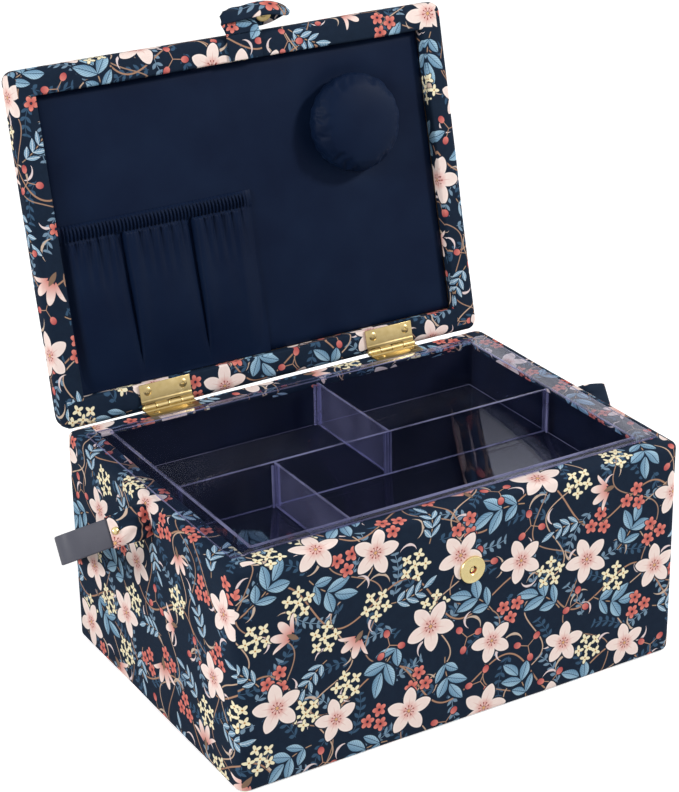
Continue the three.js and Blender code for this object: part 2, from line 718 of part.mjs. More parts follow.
function makeHandle() {
  const path = handlePath();
  const length = path.getLength();
  const strapRoom = strapThickness + 2 * fit;
  const sleeveThick = strapRoom + 2 * sleeveCloth;
  const sleeveWide = strapWidth + 2 * (fit + sleeveCloth);
  const rivets = [rivetLeft, length - rivetRight].map((d) => strapStation(path, d, strapWidth, 2));
  const holes = rivets.map(({ centre, thick }) => rod(centre.clone().addScaledVector(thick, sleeveThick),
    centre.clone().addScaledVector(thick, -sleeveThick), rivetShank + fit, smallSides));
  const strap = strapBand(path, sleeveStub + fit, length - sleeveStub - fit, strapWidth, strapThickness);
  piece(box, 'handle_strap', cutAll(strap, holes), 'strap');
  const ends = [
    ['left_handle_sleeve', 0, sleeveStub, sleeveLeft],
    ['right_handle_sleeve', length, length - sleeveStub, length - sleeveRight],
  ];
  ends.forEach(([name, root, stub, end], i) => {
    const past = end + Math.sign(end - root) * overrun;
    const sleeve = strapBand(path, Math.min(root, end), Math.max(root, end), sleeveWide, sleeveThick)
      .subtract(strapBand(path, Math.min(stub, past), Math.max(stub, past), strapWidth + 2 * fit, strapRoom));
    piece(box, name, sleeve.subtract(holes[i]), 'print');
    const { centre, thick } = rivets[i];
    const out = thick.clone().normalize().negate();
    const faceUp = sleeveThick / 2 + fit / 2;
    piece(box, name.replace('sleeve', 'rivet'), turned([
      [0, -faceUp - rivetTail], [rivetHead, -faceUp - rivetTail], [rivetHead, -faceUp], [rivetShank, -faceUp],
      [rivetShank, faceUp], [rivetHead, faceUp], [rivetHead * 0.85, faceUp + rivetDome * 0.55],
      [rivetHead * 0.45, faceUp + rivetDome * 0.92], [0, faceUp + rivetDome],
    ], centre, out, 16), 'brass');
  });
}

makeBox();
makeSnap();
makeHinges();
makeLid();
makeLidLining();
makeClasp();
makeTray();
makeHandle();

export default box;
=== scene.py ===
import json
import math

import bmesh
import bpy
from mathutils import Matrix, Vector, noise


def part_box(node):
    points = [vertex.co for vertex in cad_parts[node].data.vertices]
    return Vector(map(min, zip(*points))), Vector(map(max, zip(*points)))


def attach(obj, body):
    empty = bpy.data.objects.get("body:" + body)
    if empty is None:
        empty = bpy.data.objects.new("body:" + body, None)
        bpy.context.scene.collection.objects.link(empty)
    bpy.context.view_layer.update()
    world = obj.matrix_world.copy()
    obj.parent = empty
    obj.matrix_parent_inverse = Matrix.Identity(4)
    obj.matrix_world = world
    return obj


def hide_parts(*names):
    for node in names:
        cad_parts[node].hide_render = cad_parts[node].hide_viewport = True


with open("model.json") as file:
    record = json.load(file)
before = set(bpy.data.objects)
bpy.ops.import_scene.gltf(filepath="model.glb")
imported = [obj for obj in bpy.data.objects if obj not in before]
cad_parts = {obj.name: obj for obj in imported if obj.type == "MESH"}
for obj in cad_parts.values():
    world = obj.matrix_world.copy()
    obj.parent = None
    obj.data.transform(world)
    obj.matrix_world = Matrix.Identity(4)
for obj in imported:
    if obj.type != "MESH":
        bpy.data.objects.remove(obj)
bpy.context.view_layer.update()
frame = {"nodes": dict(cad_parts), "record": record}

# The box's driving sizes, in metres. The lid's are in the closed lid's own frame, from its pin.
MM = 0.001
HALF_WIDTH, HALF_DEPTH = 0.130, 0.0925
RIM, CORNER = 0.0141, 0.006
LID_DEPTH, LID_RIM = 0.187, 0.014
LID_FACE, LID_TOP, LID_BACK = 0.0016, 0.0146, 0.0012
PANEL_FACE, PANEL_CROWN = LID_FACE + 0.0055, 0.001
OPENING = HALF_WIDTH - LID_RIM
CUSHION_Y = LID_BACK - 0.1296
PIN = Vector((0, 0.0913, 0.1226))
OPEN_LID = Matrix.Translation(PIN) @ Matrix.Rotation(math.radians(-102.8), 4, "X")
TINY = 1e-5
scene = bpy.context.scene


# The camera, at the photograph's viewing angle
def make_camera():
    heading, height, tilt = (math.radians(a) for a in (-30.164, 23.976, -1.037))
    focal_pixels, frame_pixels, sensor = 2268.42, 792, 36
    flat = math.cos(height)
    towards = Vector((math.sin(heading) * flat, -math.cos(heading) * flat, math.sin(height)))
    level = (-towards).cross(Vector((0, 0, 1))).normalized()
    upright = level.cross(-towards)
    right = math.cos(tilt) * level + math.sin(tilt) * upright
    up = math.cos(tilt) * upright - math.sin(tilt) * level
    data = bpy.data.cameras.new("camera")
    data.sensor_fit, data.sensor_width = "AUTO", sensor
    data.lens = focal_pixels * sensor / frame_pixels
    data.clip_start, data.clip_end = 0.05, 20
    camera = bpy.data.objects.new("camera", data)
    scene.collection.objects.link(camera)
    turned = Matrix((right, up, towards)).transposed().to_4x4()
    camera.matrix_world = Matrix.Translation((-0.545972, -0.909719, 0.616165)) @ turned
    scene.camera = camera


make_camera()


# Finishes
def srgb(red, green, blue):
    """A colour given in 0 to 255, as the shader's own numbers."""
    shares = [c / 255 for c in (red, green, blue)]
    return (*[c / 12.92 if c <= 0.04045 else ((c + 0.055) / 1.055) ** 2.4 for c in shares], 1)


def operator(operation):
    return lambda self, *others: self.finish.maths(operation, self, *others)


class Number:
    """A socket of a finish. Arithmetic on it adds Math nodes."""

    __add__ = __radd__ = operator("ADD")
    __sub__ = operator("SUBTRACT")
    __mul__ = __rmul__ = operator("MULTIPLY")
    __truediv__ = operator("DIVIDE")
    __pow__ = operator("POWER")
    __abs__ = operator("ABSOLUTE")
    __lt__, __gt__ = operator("LESS_THAN"), operator("GREATER_THAN")
    sin, cos, root = operator("SINE"), operator("COSINE"), operator("SQRT")
    top, turn_of = operator("MAXIMUM"), operator("ARCTAN2")
    modulo, fold = operator("MODULO"), operator("PINGPONG")

    def __init__(self, finish, socket):
        self.finish, self.socket = finish, socket

    def __rsub__(self, other):
        return self.finish.maths("SUBTRACT", other, self)

    def __rtruediv__(self, other):
        return self.finish.maths("DIVIDE", other, self)

    def plus_held(self, more):
        """The sum, held between 0 and 1."""
        return self.finish.maths("ADD", self, more, clamp=True)

    def share(self, start, end):
        """0 at start, 1 at end, and held beyond them."""
        return ((self - start) / (end - start)).plus_held(0)


class Finish:
    """A material, or the world, and its nodes."""

    def __init__(self, name, owner=None):
        self.material = owner or bpy.data.materials.new(name)
        self.material.use_nodes = True
        self.tree = self.material.node_tree
        self.tree.nodes.clear()

    def node(self, kind, sockets=None, **settings):
        made = self.tree.nodes.new("ShaderNode" + kind)
        for key, value in settings.items():
            setattr(made, key, value)
        for key, value in (sockets or {}).items():
            if isinstance(value, Number):
                self.tree.links.new(value.socket, made.inputs[key])
            else:
                made.inputs[key].default_value = value
        return made

    def read(self, kind, sockets=None, output=0, **settings):
        return Number(self, self.node(kind, sockets, **settings).outputs[output])

    def maths(self, operation, *values, clamp=False):
        return self.read("Math", dict(enumerate(values)), operation=operation, use_clamp=clamp)

    def vector(self, operation, a, b):
        return self.read("VectorMath", {0: a, 1: b}, operation=operation)

    def parts(self, vector):
        return [Number(self, s) for s in self.node("SeparateXYZ", {0: vector}).outputs]

    def blend(self, share, first, second):
        """Goes from the first colour to the second."""
        return self.read("Mix", {0: share, 6: first, 7: second}, 2, data_type="RGBA")

    def mixed(self, share, first, second):
        return self.read("MixShader", {0: share, 1: first, 2: second})

    def stamp(self, colour, tone, value, soft, mask, halo=None):
        """Lays a motif on the cloth. A halo of the ground goes round it where it has one."""
        if halo:
            spread, blur = halo
            colour = self.blend(inside(value / spread, blur) * mask, colour, self.ground)
        return self.blend(inside(value, soft) * mask, colour, tone)

    def noise(self, place, scale, detail=3.0, rough=0.5):
        return self.read("TexNoise", {"Vector": place, "Scale": scale, "Detail": detail,
                                      "Roughness": rough})

    def object_place(self):
        return self.read("TexCoord", output="Object")

    def turned(self, place, turn, shift=(0, 0)):
        return self.read("Mapping", {0: place, 1: (*shift, 0), 2: (0, 0, turn)})

    def bump(self, height, strength, distance):
        return self.read("Bump", {"Height": height, "Strength": strength, "Distance": distance})

    def surface(self, **sockets):
        names = {key.replace("_", " "): value for key, value in sockets.items()}
        return self.output(self.read("BsdfPrincipled", names))

    def output(self, shader):
        self.node("OutputMaterial", {0: shader})
        return self.material


# The printed cloth: flowers, leaf sprays and small fillers on a loose grid, over wandering
# stems, on navy. All its places are in metres on the cloth.
STEP, TURN = 0.042, 0.31


def cells(f, cloth, spacing, loose, turn, shift, least=1.0):
    """The cells of a loose grid: where a point is from its cell's middle, turned at random,
    and a chance."""
    turned = f.turned(cloth, turn, shift)
    grid = f.node("TexVoronoi", {"Vector": turned, "Scale": 1 / spacing, "Randomness": loose},
                  voronoi_dimensions="2D")
    chance = f.parts(Number(f, grid.outputs["Color"]))
    away = f.vector("SUBTRACT", turned, Number(f, grid.outputs["Position"]))
    x, y, _ = f.parts(f.read("VectorRotate", {"Vector": away, "Angle": chance[0] * math.tau},
                             rotation_type="Z_AXIS"))
    if least < 1:
        size = chance[1] * (1 - least) + least
        x, y = x / size, y / size
    return x, y, chance[2]


def folded(x, y, count):
    """A point folded into one of count equal petals, whose middle lies along x."""
    distance = (x * x + y * y).root()
    angle = (y.turn_of(x) + math.pi).fold(math.pi / count)
    return distance * angle.cos(), distance * angle.sin(), distance


def oval(x, y, middle, length, width):
    """Under 1 inside an oval that lies along x."""
    across = (x - middle) / length
    return across * across + (y / width) * (y / width)


def lens(x, y, middle, length, width):
    """Under 1 inside a pointed leaf that lies along x."""
    along = (x - middle) / length
    return along * along + abs(y) / width


def inside(value, softness):
    return ((1 - value) / softness).plus_held(0.5)


def leaned(x, y, root, lean):
    """Places along and across a leaf that leaves its stem at root."""
    cos, sin = math.cos(math.radians(lean)), math.sin(math.radians(lean))
    return (x - root) * cos + y * sin, y * cos - (x - root) * sin


def twigs(f, cloth, colour):
    """Fine twigs, dim, in the gaps."""
    for spacing, turn, shift, ink in ((0.031, 0.9, (0.004, 0.006), srgb(56, 84, 110)),
                                      (0.037, 2.3, (0.013, 0.021), srgb(116, 142, 164))):
        x, y, _ = cells(f, cloth, spacing, 0.4, turn, shift)
        side = abs(y - x * x * 20)
        place = (x + 0.1).modulo(0.0042) - 0.0021
        along, across = leaned(place, side, -0.0012, 48)
        leaf = inside(lens(along, across, 0.0022, 0.0020, 0.0009), 0.25)
        stem = inside(side / 0.00020, 0.5)
        colour = f.blend(leaf.top(stem) * inside(abs(x) / 0.0116, 0.02), colour, ink)
    return colour


def stems(f, cloth, colour):
    """Long stems that wander under the motifs."""
    for turn, spacing, sway, length, width, ink in (
        (0.22, 0.046, 0.0120, 0.071, 0.00044, srgb(168, 130, 106)),
        (1.22, 0.052, 0.0100, 0.058, 0.00032, srgb(160, 128, 108)),
        (1.82, 0.058, 0.0090, 0.049, 0.00034, srgb(192, 164, 142)),
    ):
        along, across, _ = f.parts(f.turned(cloth, turn))
        wave = along * (math.tau / length)
        slope = wave.cos() * (sway * math.tau / length)
        off = (across - wave.sin() * sway + 40 * spacing).modulo(spacing) - spacing / 2
        off = abs(off) / (slope * slope + 1).root()
        colour = f.blend(inside(off / width, 0.5), colour, ink)
    return colour


def crescents(f, cloth, colour):
    """Pale crescents, like shavings."""
    for spacing, turn, shift, middle, ink in (
        (0.029, 1.3, (0.001, 0.011), 0.0050, srgb(226, 208, 208)),
        (0.034, 2.2, (0.017, 0.006), 0.0066, srgb(200, 178, 160)),
    ):
        x, y, _ = cells(f, cloth, spacing, 0.5, turn, shift)
        around = y.turn_of(x)
        width = (1.25 - abs(around)) * 0.00062
        line = abs((x * x + y * y).root() - middle - around * 0.0007)
        mark = inside(line / width.top(0.00001), 0.3) * (width > 0.00004)
        colour = f.blend(mark, colour, ink)
    return colour


def sprays(f, cloth, colour):
    """Leaf sprays in two builds. Each leaf is given by its root, lean, length and half width."""
    x, y, chance = cells(f, cloth, STEP, 0.24, TURN, (STEP / 2, STEP / 2), 0.86)
    bent = y - x * x * 14
    side = abs(bent)
    reach = inside(abs(x + 0.003) / 0.0115, 0.02)
    colour = f.stamp(colour, f.ground, side / 0.0012, 0.3, reach)
    colour = f.stamp(colour, srgb(168, 138, 112), side / 0.00034, 0.4, reach)
    broad = chance > 0.45
    for some, deep, pale, vein, leaves in (
        (broad, srgb(96, 136, 166), srgb(168, 202, 222), srgb(44, 72, 98),
         ((-0.0100, 44, 0.0115, 0.0025), (-0.0010, 48, 0.0140, 0.0032),
          (0.0040, 0, 0.0140, 0.0032))),
        (1 - broad, srgb(82, 120, 150), srgb(146, 180, 204), srgb(208, 222, 230),
         ((-0.0110, 40, 0.0080, 0.0015), (-0.0055, 42, 0.0085, 0.0016),
          (0.0, 44, 0.0080, 0.0015), (0.0055, 0, 0.0095, 0.0017))),
    ):
        for root, lean, length, half in leaves:
            along, across = leaned(x, side if lean else bent, root, lean)
            outline = lens(along, across, length / 2, length / 2, half)
            tone = f.blend((across / (2.2 * half)).plus_held(0.5), deep, pale)
            slanted = (along - abs(across) * 1.2 + 0.1).modulo(0.0017) - 0.00085
            veins = inside(abs(slanted) / 0.00013, 0.8) * 0.65
            tone = f.blend(veins.top(inside(abs(across) / 0.00020, 0.6)), tone, vein)
            colour = f.stamp(colour, tone, outline, 0.1, some, (1.45, 0.14))
    return colour


def fillers(f, cloth, colour):
    """Clusters of cream florets, coral blossoms, or berries on forked stalks."""
    near = STEP / math.sqrt(2)
    x, y, chance = cells(f, cloth, near, 0.26, TURN + math.pi / 4, (near / 2, near / 2))
    cream, coral, berries = chance < 0.3, (chance > 0.3) * (chance < 0.62), chance > 0.62
    px, py, _ = folded(x, y, 5)
    for at, halo in (((px - 0.0060, py), (1.8, 0.3)), ((x, y), None)):
        qx, qy, small = folded(*at, 4)
        tone = f.blend(inside(small / 0.0005, 0.4), srgb(240, 230, 196), srgb(200, 150, 84))
        floret = oval(qx, qy, 0.0017, 0.0016, 0.00092)
        colour = f.stamp(colour, tone, floret, 0.3, cream, halo)
    px, py, _ = folded(x, y, 3)
    qx, qy, small = folded(px - 0.0048, py, 5)
    tone = f.blend(qx.share(0.0004, 0.0038), srgb(186, 88, 82), srgb(228, 138, 124))
    tone = f.blend(inside(small / 0.0008, 0.3), tone, srgb(96, 34, 40))
    colour = f.stamp(colour, tone, oval(qx, qy, 0.0023, 0.0017, 0.0013), 0.2, coral, (1.6, 0.25))
    berry = oval(px, py, 0.0070, 0.0022, 0.0018)
    colour = f.stamp(colour, f.ground, berry / 1.6, 0.3, berries)
    reach = inside(abs(px - 0.0026) / 0.0026, 0.05) * berries
    colour = f.stamp(colour, srgb(178, 140, 116), py / 0.00022, 0.5, reach)
    tone = f.blend(px.share(0.0052, 0.0088), srgb(218, 128, 118), srgb(180, 84, 84))
    return f.stamp(colour, tone, berry, 0.25, berries)


def flowers(f, cloth, colour, wash):
    """Blush flowers with five petals, or a bud in a fan of three."""
    x, y, chance = cells(f, cloth, STEP, 0.24, TURN, (0, 0), 0.82)
    is_open = chance > 0.28
    shut = 1 - is_open
    px, py, _ = folded(x + 0.004, y, 9)
    fan = inside(abs(y.turn_of(x + 0.004)) / 1.03, 0.02) * shut
    tone = f.blend(px.share(0.002, 0.0120), srgb(206, 116, 104), srgb(242, 220, 212))
    colour = f.stamp(colour, tone, oval(px, py, 0.0090, 0.0060, 0.0027), 0.12, fan, (1.3, 0.2))
    calyx = lens(x, y, -0.0030, 0.0044, 0.0016)
    colour = f.stamp(colour, srgb(132, 106, 88), calyx, 0.2, shut)
    px, py, distance = folded(x, y, 5)
    along = (px - 0.0077) / 0.0068
    petal = along * along + abs(py / 0.0041) ** 1.5
    tone = f.blend(px.share(0.0010, 0.0062), srgb(214, 126, 114), srgb(243, 224, 216))
    tone = f.blend(petal.share(0.5, 1.0) * 0.6, tone, srgb(248, 236, 230))
    streak = inside(py / 0.00024, 0.8) * inside(px / 0.0078, 0.4) * 0.4
    tone = f.blend(streak, tone, srgb(200, 118, 108))
    tone = f.blend(wash.share(0.35, 0.75) * 0.25, tone, srgb(232, 202, 194))
    colour = f.stamp(colour, tone, petal, 0.08, is_open, (1.3, 0.12))
    qx, qy, _ = folded(x, y, 9)
    stamen = inside(oval(qx, qy, 0.0031, 0.0005, 0.0004), 0.5)
    thread = inside(qy / 0.00014, 0.8) * inside(abs(qx - 0.0018) / 0.0014, 0.1)
    colour = f.blend(stamen.top(thread) * is_open, colour, srgb(142, 52, 50))
    return f.stamp(colour, srgb(222, 172, 118), distance / 0.0009, 0.3, is_open)


def printed_cloth():
    f = Finish("printed_cloth")
    cloth = f.read("UVMap", uv_map="cloth")
    wash = f.noise(cloth, 260, 4)
    f.ground = colour = f.blend(wash, srgb(13, 26, 43), srgb(21, 37, 56))
    for layer in (twigs, stems, crescents, sprays, fillers):
        colour = layer(f, cloth, colour)
    colour = flowers(f, cloth, colour, wash)

    # Woven cotton
    u, v, _ = f.parts(cloth)
    thread = math.tau / 0.00052
    weave = (u * thread).sin() * (v * thread).sin()
    slub = f.noise(cloth, 900, 2)
    return f.surface(Base_Color=colour, Roughness=slub * 0.2 + 0.68, Specular_IOR_Level=0.12,
                     Normal=f.bump(weave * 0.5 + slub, 0.25, 0.0001))


def navy_cloth(name, dark, bright):
    f = Finish(name)
    place = f.object_place()
    x, y, z = f.parts(place)
    colour = f.blend(f.noise(place, 38, 3).share(0.3, 0.7), dark, bright)
    twill = ((x + z * 0.9 + y * 0.4) * (math.tau / 0.0007)).sin()
    fine = f.noise(place, 1400, 2)
    return f.surface(Base_Color=colour, Roughness=fine * 0.15 + 0.46, Specular_IOR_Level=0.07,
                     Normal=f.bump(twill * 0.4 + fine, 0.22, 0.00012))


def clear_plastic(name, tint, painted_sheen):
    """Thin clear plastic: light goes through it, and the rest shines at a slant. Its milky diffuse
    shows small scuffs, and in patches is painted sheen for the light the plastic catches.
    """
    f = Finish(name)
    place = f.object_place()
    bump = f.bump(f.noise(place, 30, 2), 0.08, 0.001)
    gloss = f.read("BsdfGlossy", {"Color": srgb(236, 236, 246), "Roughness": 0.03, "Normal": bump})
    scuffs_and_painted_sheen = f.read("BsdfDiffuse", {"Color": srgb(146, 148, 190)})
    through = f.read("BsdfTransparent", {"Color": tint})
    facing = f.read("LayerWeight", {"Blend": 0.5}, "Facing")
    scuff = f.noise(place, 55, 3).share(0.5, 0.95) * 0.006
    sheen_patches = f.noise(place, 34, 2).share(0.35, 0.65) * 0.8 + 0.5
    # The milky diffuse shows real small scuffs, and in patches painted sheen.
    body = f.mixed(scuff + sheen_patches * painted_sheen, through, scuffs_and_painted_sheen)
    return f.output(f.mixed(facing ** 4, body, gloss))


def gold_metal(name, dark, bright, least):
    f = Finish(name)
    place = f.object_place()
    brushed = f.noise(f.vector("MULTIPLY", place, (300, 3000, 3000)), 1.0, 2)
    blotch = f.noise(place, 300, 3)
    return f.surface(Base_Color=f.blend(blotch, dark, bright), Metallic=1.0,
                     Roughness=blotch * 0.12 + least, Normal=f.bump(brushed, 0.06, 0.0001))


def grey_strap():
    f = Finish("grey_strap")
    place = f.object_place()
    grain = f.read("TexVoronoi", {"Vector": place, "Scale": 1600}, feature="SMOOTH_F1")
    tone = f.noise(place, 90, 3)
    return f.surface(Base_Color=f.blend(tone, srgb(71, 72, 83), srgb(86, 87, 97)),
                     Roughness=tone * 0.15 + 0.42, Specular_IOR_Level=0.3,
                     Normal=f.bump(grain, 0.16, 0.0002))


def raw_board():
    f = Finish("raw_board")
    place = f.object_place()
    fibre = f.noise(place, 1100, 4, 0.7)
    colour = f.blend(fibre, srgb(150, 118, 84), srgb(194, 162, 124))
    colour = f.blend(f.noise(place, 70, 3) * 0.4, colour, srgb(168, 138, 104))
    return f.surface(Base_Color=colour, Roughness=fibre * 0.2 + 0.75,
                     Normal=f.bump(fibre, 0.3, 0.0002))


# Each finish with the slot that it fills
PRINT = printed_cloth(), "print"
NAVY = navy_cloth("navy_cloth", srgb(8, 21, 45), srgb(14, 28, 52)), "navy"
# A darker copy of the navy cloth for the lining in the box: painted shade.
SHADED_NAVY = navy_cloth("navy_lining_painted_shade", srgb(9, 16, 32), srgb(13, 21, 40)), "navy"
CLEAR = clear_plastic("clear_plastic", (0.89, 0.90, 0.94, 1), 0.004), "clear"
# The dividers' plastic is milkier: painted sheen, for the light their faces reflect.
PANE = clear_plastic("clear_pane", (0.82, 0.82, 0.91, 1), 0.11), "clear"
# The edge finish is darker to see through and milky, so clear edges show as bright lines. Its
# milky brightness is painted highlight.
EDGE = clear_plastic("plastic_edge_highlight", (0.52, 0.52, 0.70, 1), 0.44), "clear"
GOLD = gold_metal("gold_metal", srgb(226, 204, 142), srgb(240, 224, 170), 0.20), "brass"
BRASS = gold_metal("hinge_brass", srgb(176, 152, 96), srgb(204, 184, 138), 0.26), "brass"
STRAP = grey_strap(), "strap"
BOARD = raw_board(), "board"


# Small sums that the shapes share
def held(value):
    return min(1.0, max(0.0, value))


def eased(share):
    return share * share * (3 - 2 * share)


def hump(away, width):
    return math.exp(-(away / width) ** 2)


def ripple(*place):
    return noise.noise(Vector(place))


# Modelling helpers
def take(piece):
    """Selects one piece alone and makes it active."""
    bpy.ops.object.select_all(action="DESELECT")
    piece.select_set(True)
    bpy.context.view_layer.objects.active = piece


def begin(name, primitive, **settings):
    """Starts a piece from a primitive."""
    bpy.ops.object.select_all(action="DESELECT")
    primitive(**settings)
    piece = bpy.context.object
    piece.name = piece.data.name = name
    return piece


def settle(piece):
    """Puts a piece's place and size into its mesh."""
    take(piece)
    bpy.ops.object.transform_apply(location=True, rotation=True, scale=True)


def block(name, low, high):
    """A block between two corners, active and in object mode."""
    low, high = Vector(low), Vector(high)
    piece = begin(name, bpy.ops.mesh.primitive_cube_add, size=1, location=(low + high) / 2)
    piece.scale = high - low
    settle(piece)
    return piece


def copied(source, name):
    piece = bpy.data.objects.new(name, source.data.copy())
    scene.collection.objects.link(piece)
    return piece


def pick(test, kind="FACE"):
    """In edit mode, selects the faces or edges whose middle passes the test."""
    bpy.ops.mesh.select_mode(type=kind)
    bpy.ops.mesh.select_all(action="DESELECT")
    mesh = bmesh.from_edit_mesh(bpy.context.object.data)
    if kind == "FACE":
        for face in mesh.faces:
            face.select_set(test(face.calc_center_median(), face.normal))
    else:
        for edge in mesh.edges:
            a, b = (v.co for v in edge.verts)
            edge.select_set(test((a + b) / 2, (b - a).normalized()))
    mesh.select_flush_mode()
    bmesh.update_edit_mesh(bpy.context.object.data)


def edit(piece):
    take(piece)
    bpy.ops.object.mode_set(mode="EDIT")


def done():
    bpy.ops.object.mode_set(mode="OBJECT")


def every_face():
    bpy.ops.mesh.select_all(action="SELECT")


def weld(threshold=1e-6):
    every_face()
    bpy.ops.mesh.remove_doubles(threshold=threshold)


def extrude(*move):
    bpy.ops.mesh.extrude_region_move(TRANSFORM_OT_translate={"value": move})


def round_picked(offset, segments):
    bpy.ops.mesh.bevel(offset=offset, segments=segments, profile=0.5, clamp_overlap=True)


def turn_over(piece):
    edit(piece)
    every_face()
    bpy.ops.mesh.flip_normals()
    done()


def face_out(piece):
    edit(piece)
    every_face()
    bpy.ops.mesh.normals_make_consistent(inside=False)
    done()


def modify(piece, kind, **settings):
    """Adds a modifier and applies it."""
    modifier = piece.modifiers.new(kind.lower(), kind)
    for key, value in settings.items():
        setattr(modifier, key, value)
    take(piece)
    bpy.ops.object.modifier_apply(modifier=modifier.name)


def round_edges(piece, width, segments, angle=30):
    modify(piece, "BEVEL", width=width, segments=segments, limit_method="ANGLE",
           angle_limit=math.radians(angle))


def thicken(piece, thickness):
    modify(piece, "SOLIDIFY", thickness=thickness, offset=-1)


def carve(piece, other, operation):
    modify(piece, "BOOLEAN", object=other, operation=operation, solver="EXACT")
    bpy.data.objects.remove(other)


def smooth(piece, angle):
    take(piece)
    bpy.ops.object.shade_smooth_by_angle(angle=math.radians(angle))


def cut(piece, axis, places):
    edit(piece)
    cut_across(axis, places)
    done()


def cut_across(axis, places):
    """In edit mode, cuts the whole mesh across an axis at each place."""
    for at in places:
        every_face()
        point, normal = [0, 0, 0], [0, 0, 0]
        point[axis], normal[axis] = at, 1
        bpy.ops.mesh.bisect(plane_co=point, plane_no=normal)


def finish_piece(piece, angle, finish, body, nodes=(), place=None):
    """Smooths a piece up to an angle, and gives it its finish, its place on the open lid if
    asked, and its body."""
    smooth(piece, angle)
    material, slot = finish
    piece.data.materials.clear()
    piece.data.materials.append(material)
    if place is not None:
        piece.matrix_world = place
        settle(piece)
    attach(piece, body)
    if nodes:
        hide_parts(*nodes)


def lay_cloth(piece, place):
    """Gives a piece its cloth map: place turns a corner's position and its face into metres
    on the cloth."""
    mesh = piece.data
    while mesh.uv_layers:
        mesh.uv_layers.remove(mesh.uv_layers[0])
    flat = mesh.uv_layers.new(name="cloth")
    for face in mesh.polygons:
        for corner in face.loop_indices:
            at = mesh.vertices[mesh.loops[corner].vertex_index].co
            flat.data[corner].uv = place(at, face)


def shape_points(piece, move):
    for vert in piece.data.vertices:
        vert.co = move(vert.co)
    piece.data.update()


def soften(piece, amount, scale, seed):
    """Moves the points of a cloth skin a little along their normals, so it isn't dead flat."""
    shift = Vector((seed, seed * 2.3, seed * 0.7))
    normals = [v.normal.copy() for v in piece.data.vertices]
    for vert, normal in zip(piece.data.vertices, normals):
        vert.co += normal * (noise.noise(vert.co * scale + shift) * amount)
    piece.data.update()


# The cloth skins of the box and the lid
CLOTH = 0.0009


def skin(name, low, high, rim, lip, upwards, edge, lines):
    """A wrapped skin: a block with a rim turned in round an opening in its top or bottom."""
    piece = block(name, low, high)
    side, mouth = (1, high.z) if upwards else (-1, low.z)
    edit(piece)
    for axis in (0, 1):
        cut_across(axis, [low[axis] + d for d in (rim, *lines)]
                   + [high[axis] - d for d in (rim, *lines)])
    span = high.z - low.z
    if span > 0.05:
        cut_across(2, [low.z + span * t for t in (0.15, 0.32, 0.5, 0.68, 0.85)])
    from_x = lambda p: min(p.x - low.x, high.x - p.x)
    from_y = lambda p: min(p.y - low.y, high.y - p.y)
    inwards = lambda p: min(from_x(p), from_y(p))
    at_mouth = lambda p: abs(p.z - mouth) < TINY
    pick(lambda p, n: n.z * side > 0.5 and at_mouth(p) and inwards(p) > rim)
    extrude(0, 0, -side * lip)
    bpy.ops.mesh.delete(type="FACE")
    pick(lambda p, d: abs(d.z) > 0.9 and max(from_x(p), from_y(p)) < TINY, "EDGE")
    round_picked(CORNER, 6)
    at_end = lambda p: min(abs(p.z - low.z), abs(p.z - high.z)) < TINY
    pick(lambda p, d: abs(d.z) < 0.1 and at_end(p) and inwards(p) < 0.0021, "EDGE")
    round_picked(edge, 4)
    at_rim = lambda p: at_mouth(p) and abs(inwards(p) - rim) < TINY
    pick(lambda p, d: abs(d.z) < 0.1 and at_rim(p), "EDGE")
    round_picked(0.0012, 3)
    weld()
    done()
    return piece


def box_cloth():
    low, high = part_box("box_cover")
    floor_gap, under_shift, back_turn, side_turn = 0.00005, 0.02, 0.46, 0.13
    piece = skin("box_cloth", low, high, RIM, 0.004, True, 0.003, (0.035, 0.06, 0.085))
    soften(piece, 0.00025, 28, 3.1)
    thicken(piece, CLOTH)
    shape_points(piece, lambda p: Vector((p.x, p.y, max(p.z, floor_gap))))

    def place(at, face):
        middle = face.center
        left, front = high.x - abs(middle.x), high.y - abs(middle.y)
        if middle.z < 0.0008 and face.normal.z < -0.5:
            return at.x, low.y - at.y - under_shift
        over = 0.0
        if middle.z > 0.1:
            over = max(0.0, high.y - abs(at.y) if front <= left else high.x - abs(at.x))
        if at.z < high.z - 0.0035 and min(left, front) > 0.01:
            up = high.z + over + high.z - at.z
        else:
            up = at.z + over
        if front <= left:
            return at.x if middle.y < 0 else back_turn - at.x, up
        along = side_turn + at.y - low.y
        return -along if middle.x < 0 else along, up

    lay_cloth(piece, place)
    finish_piece(piece, 40, PRINT, "base", ["box_cover"])


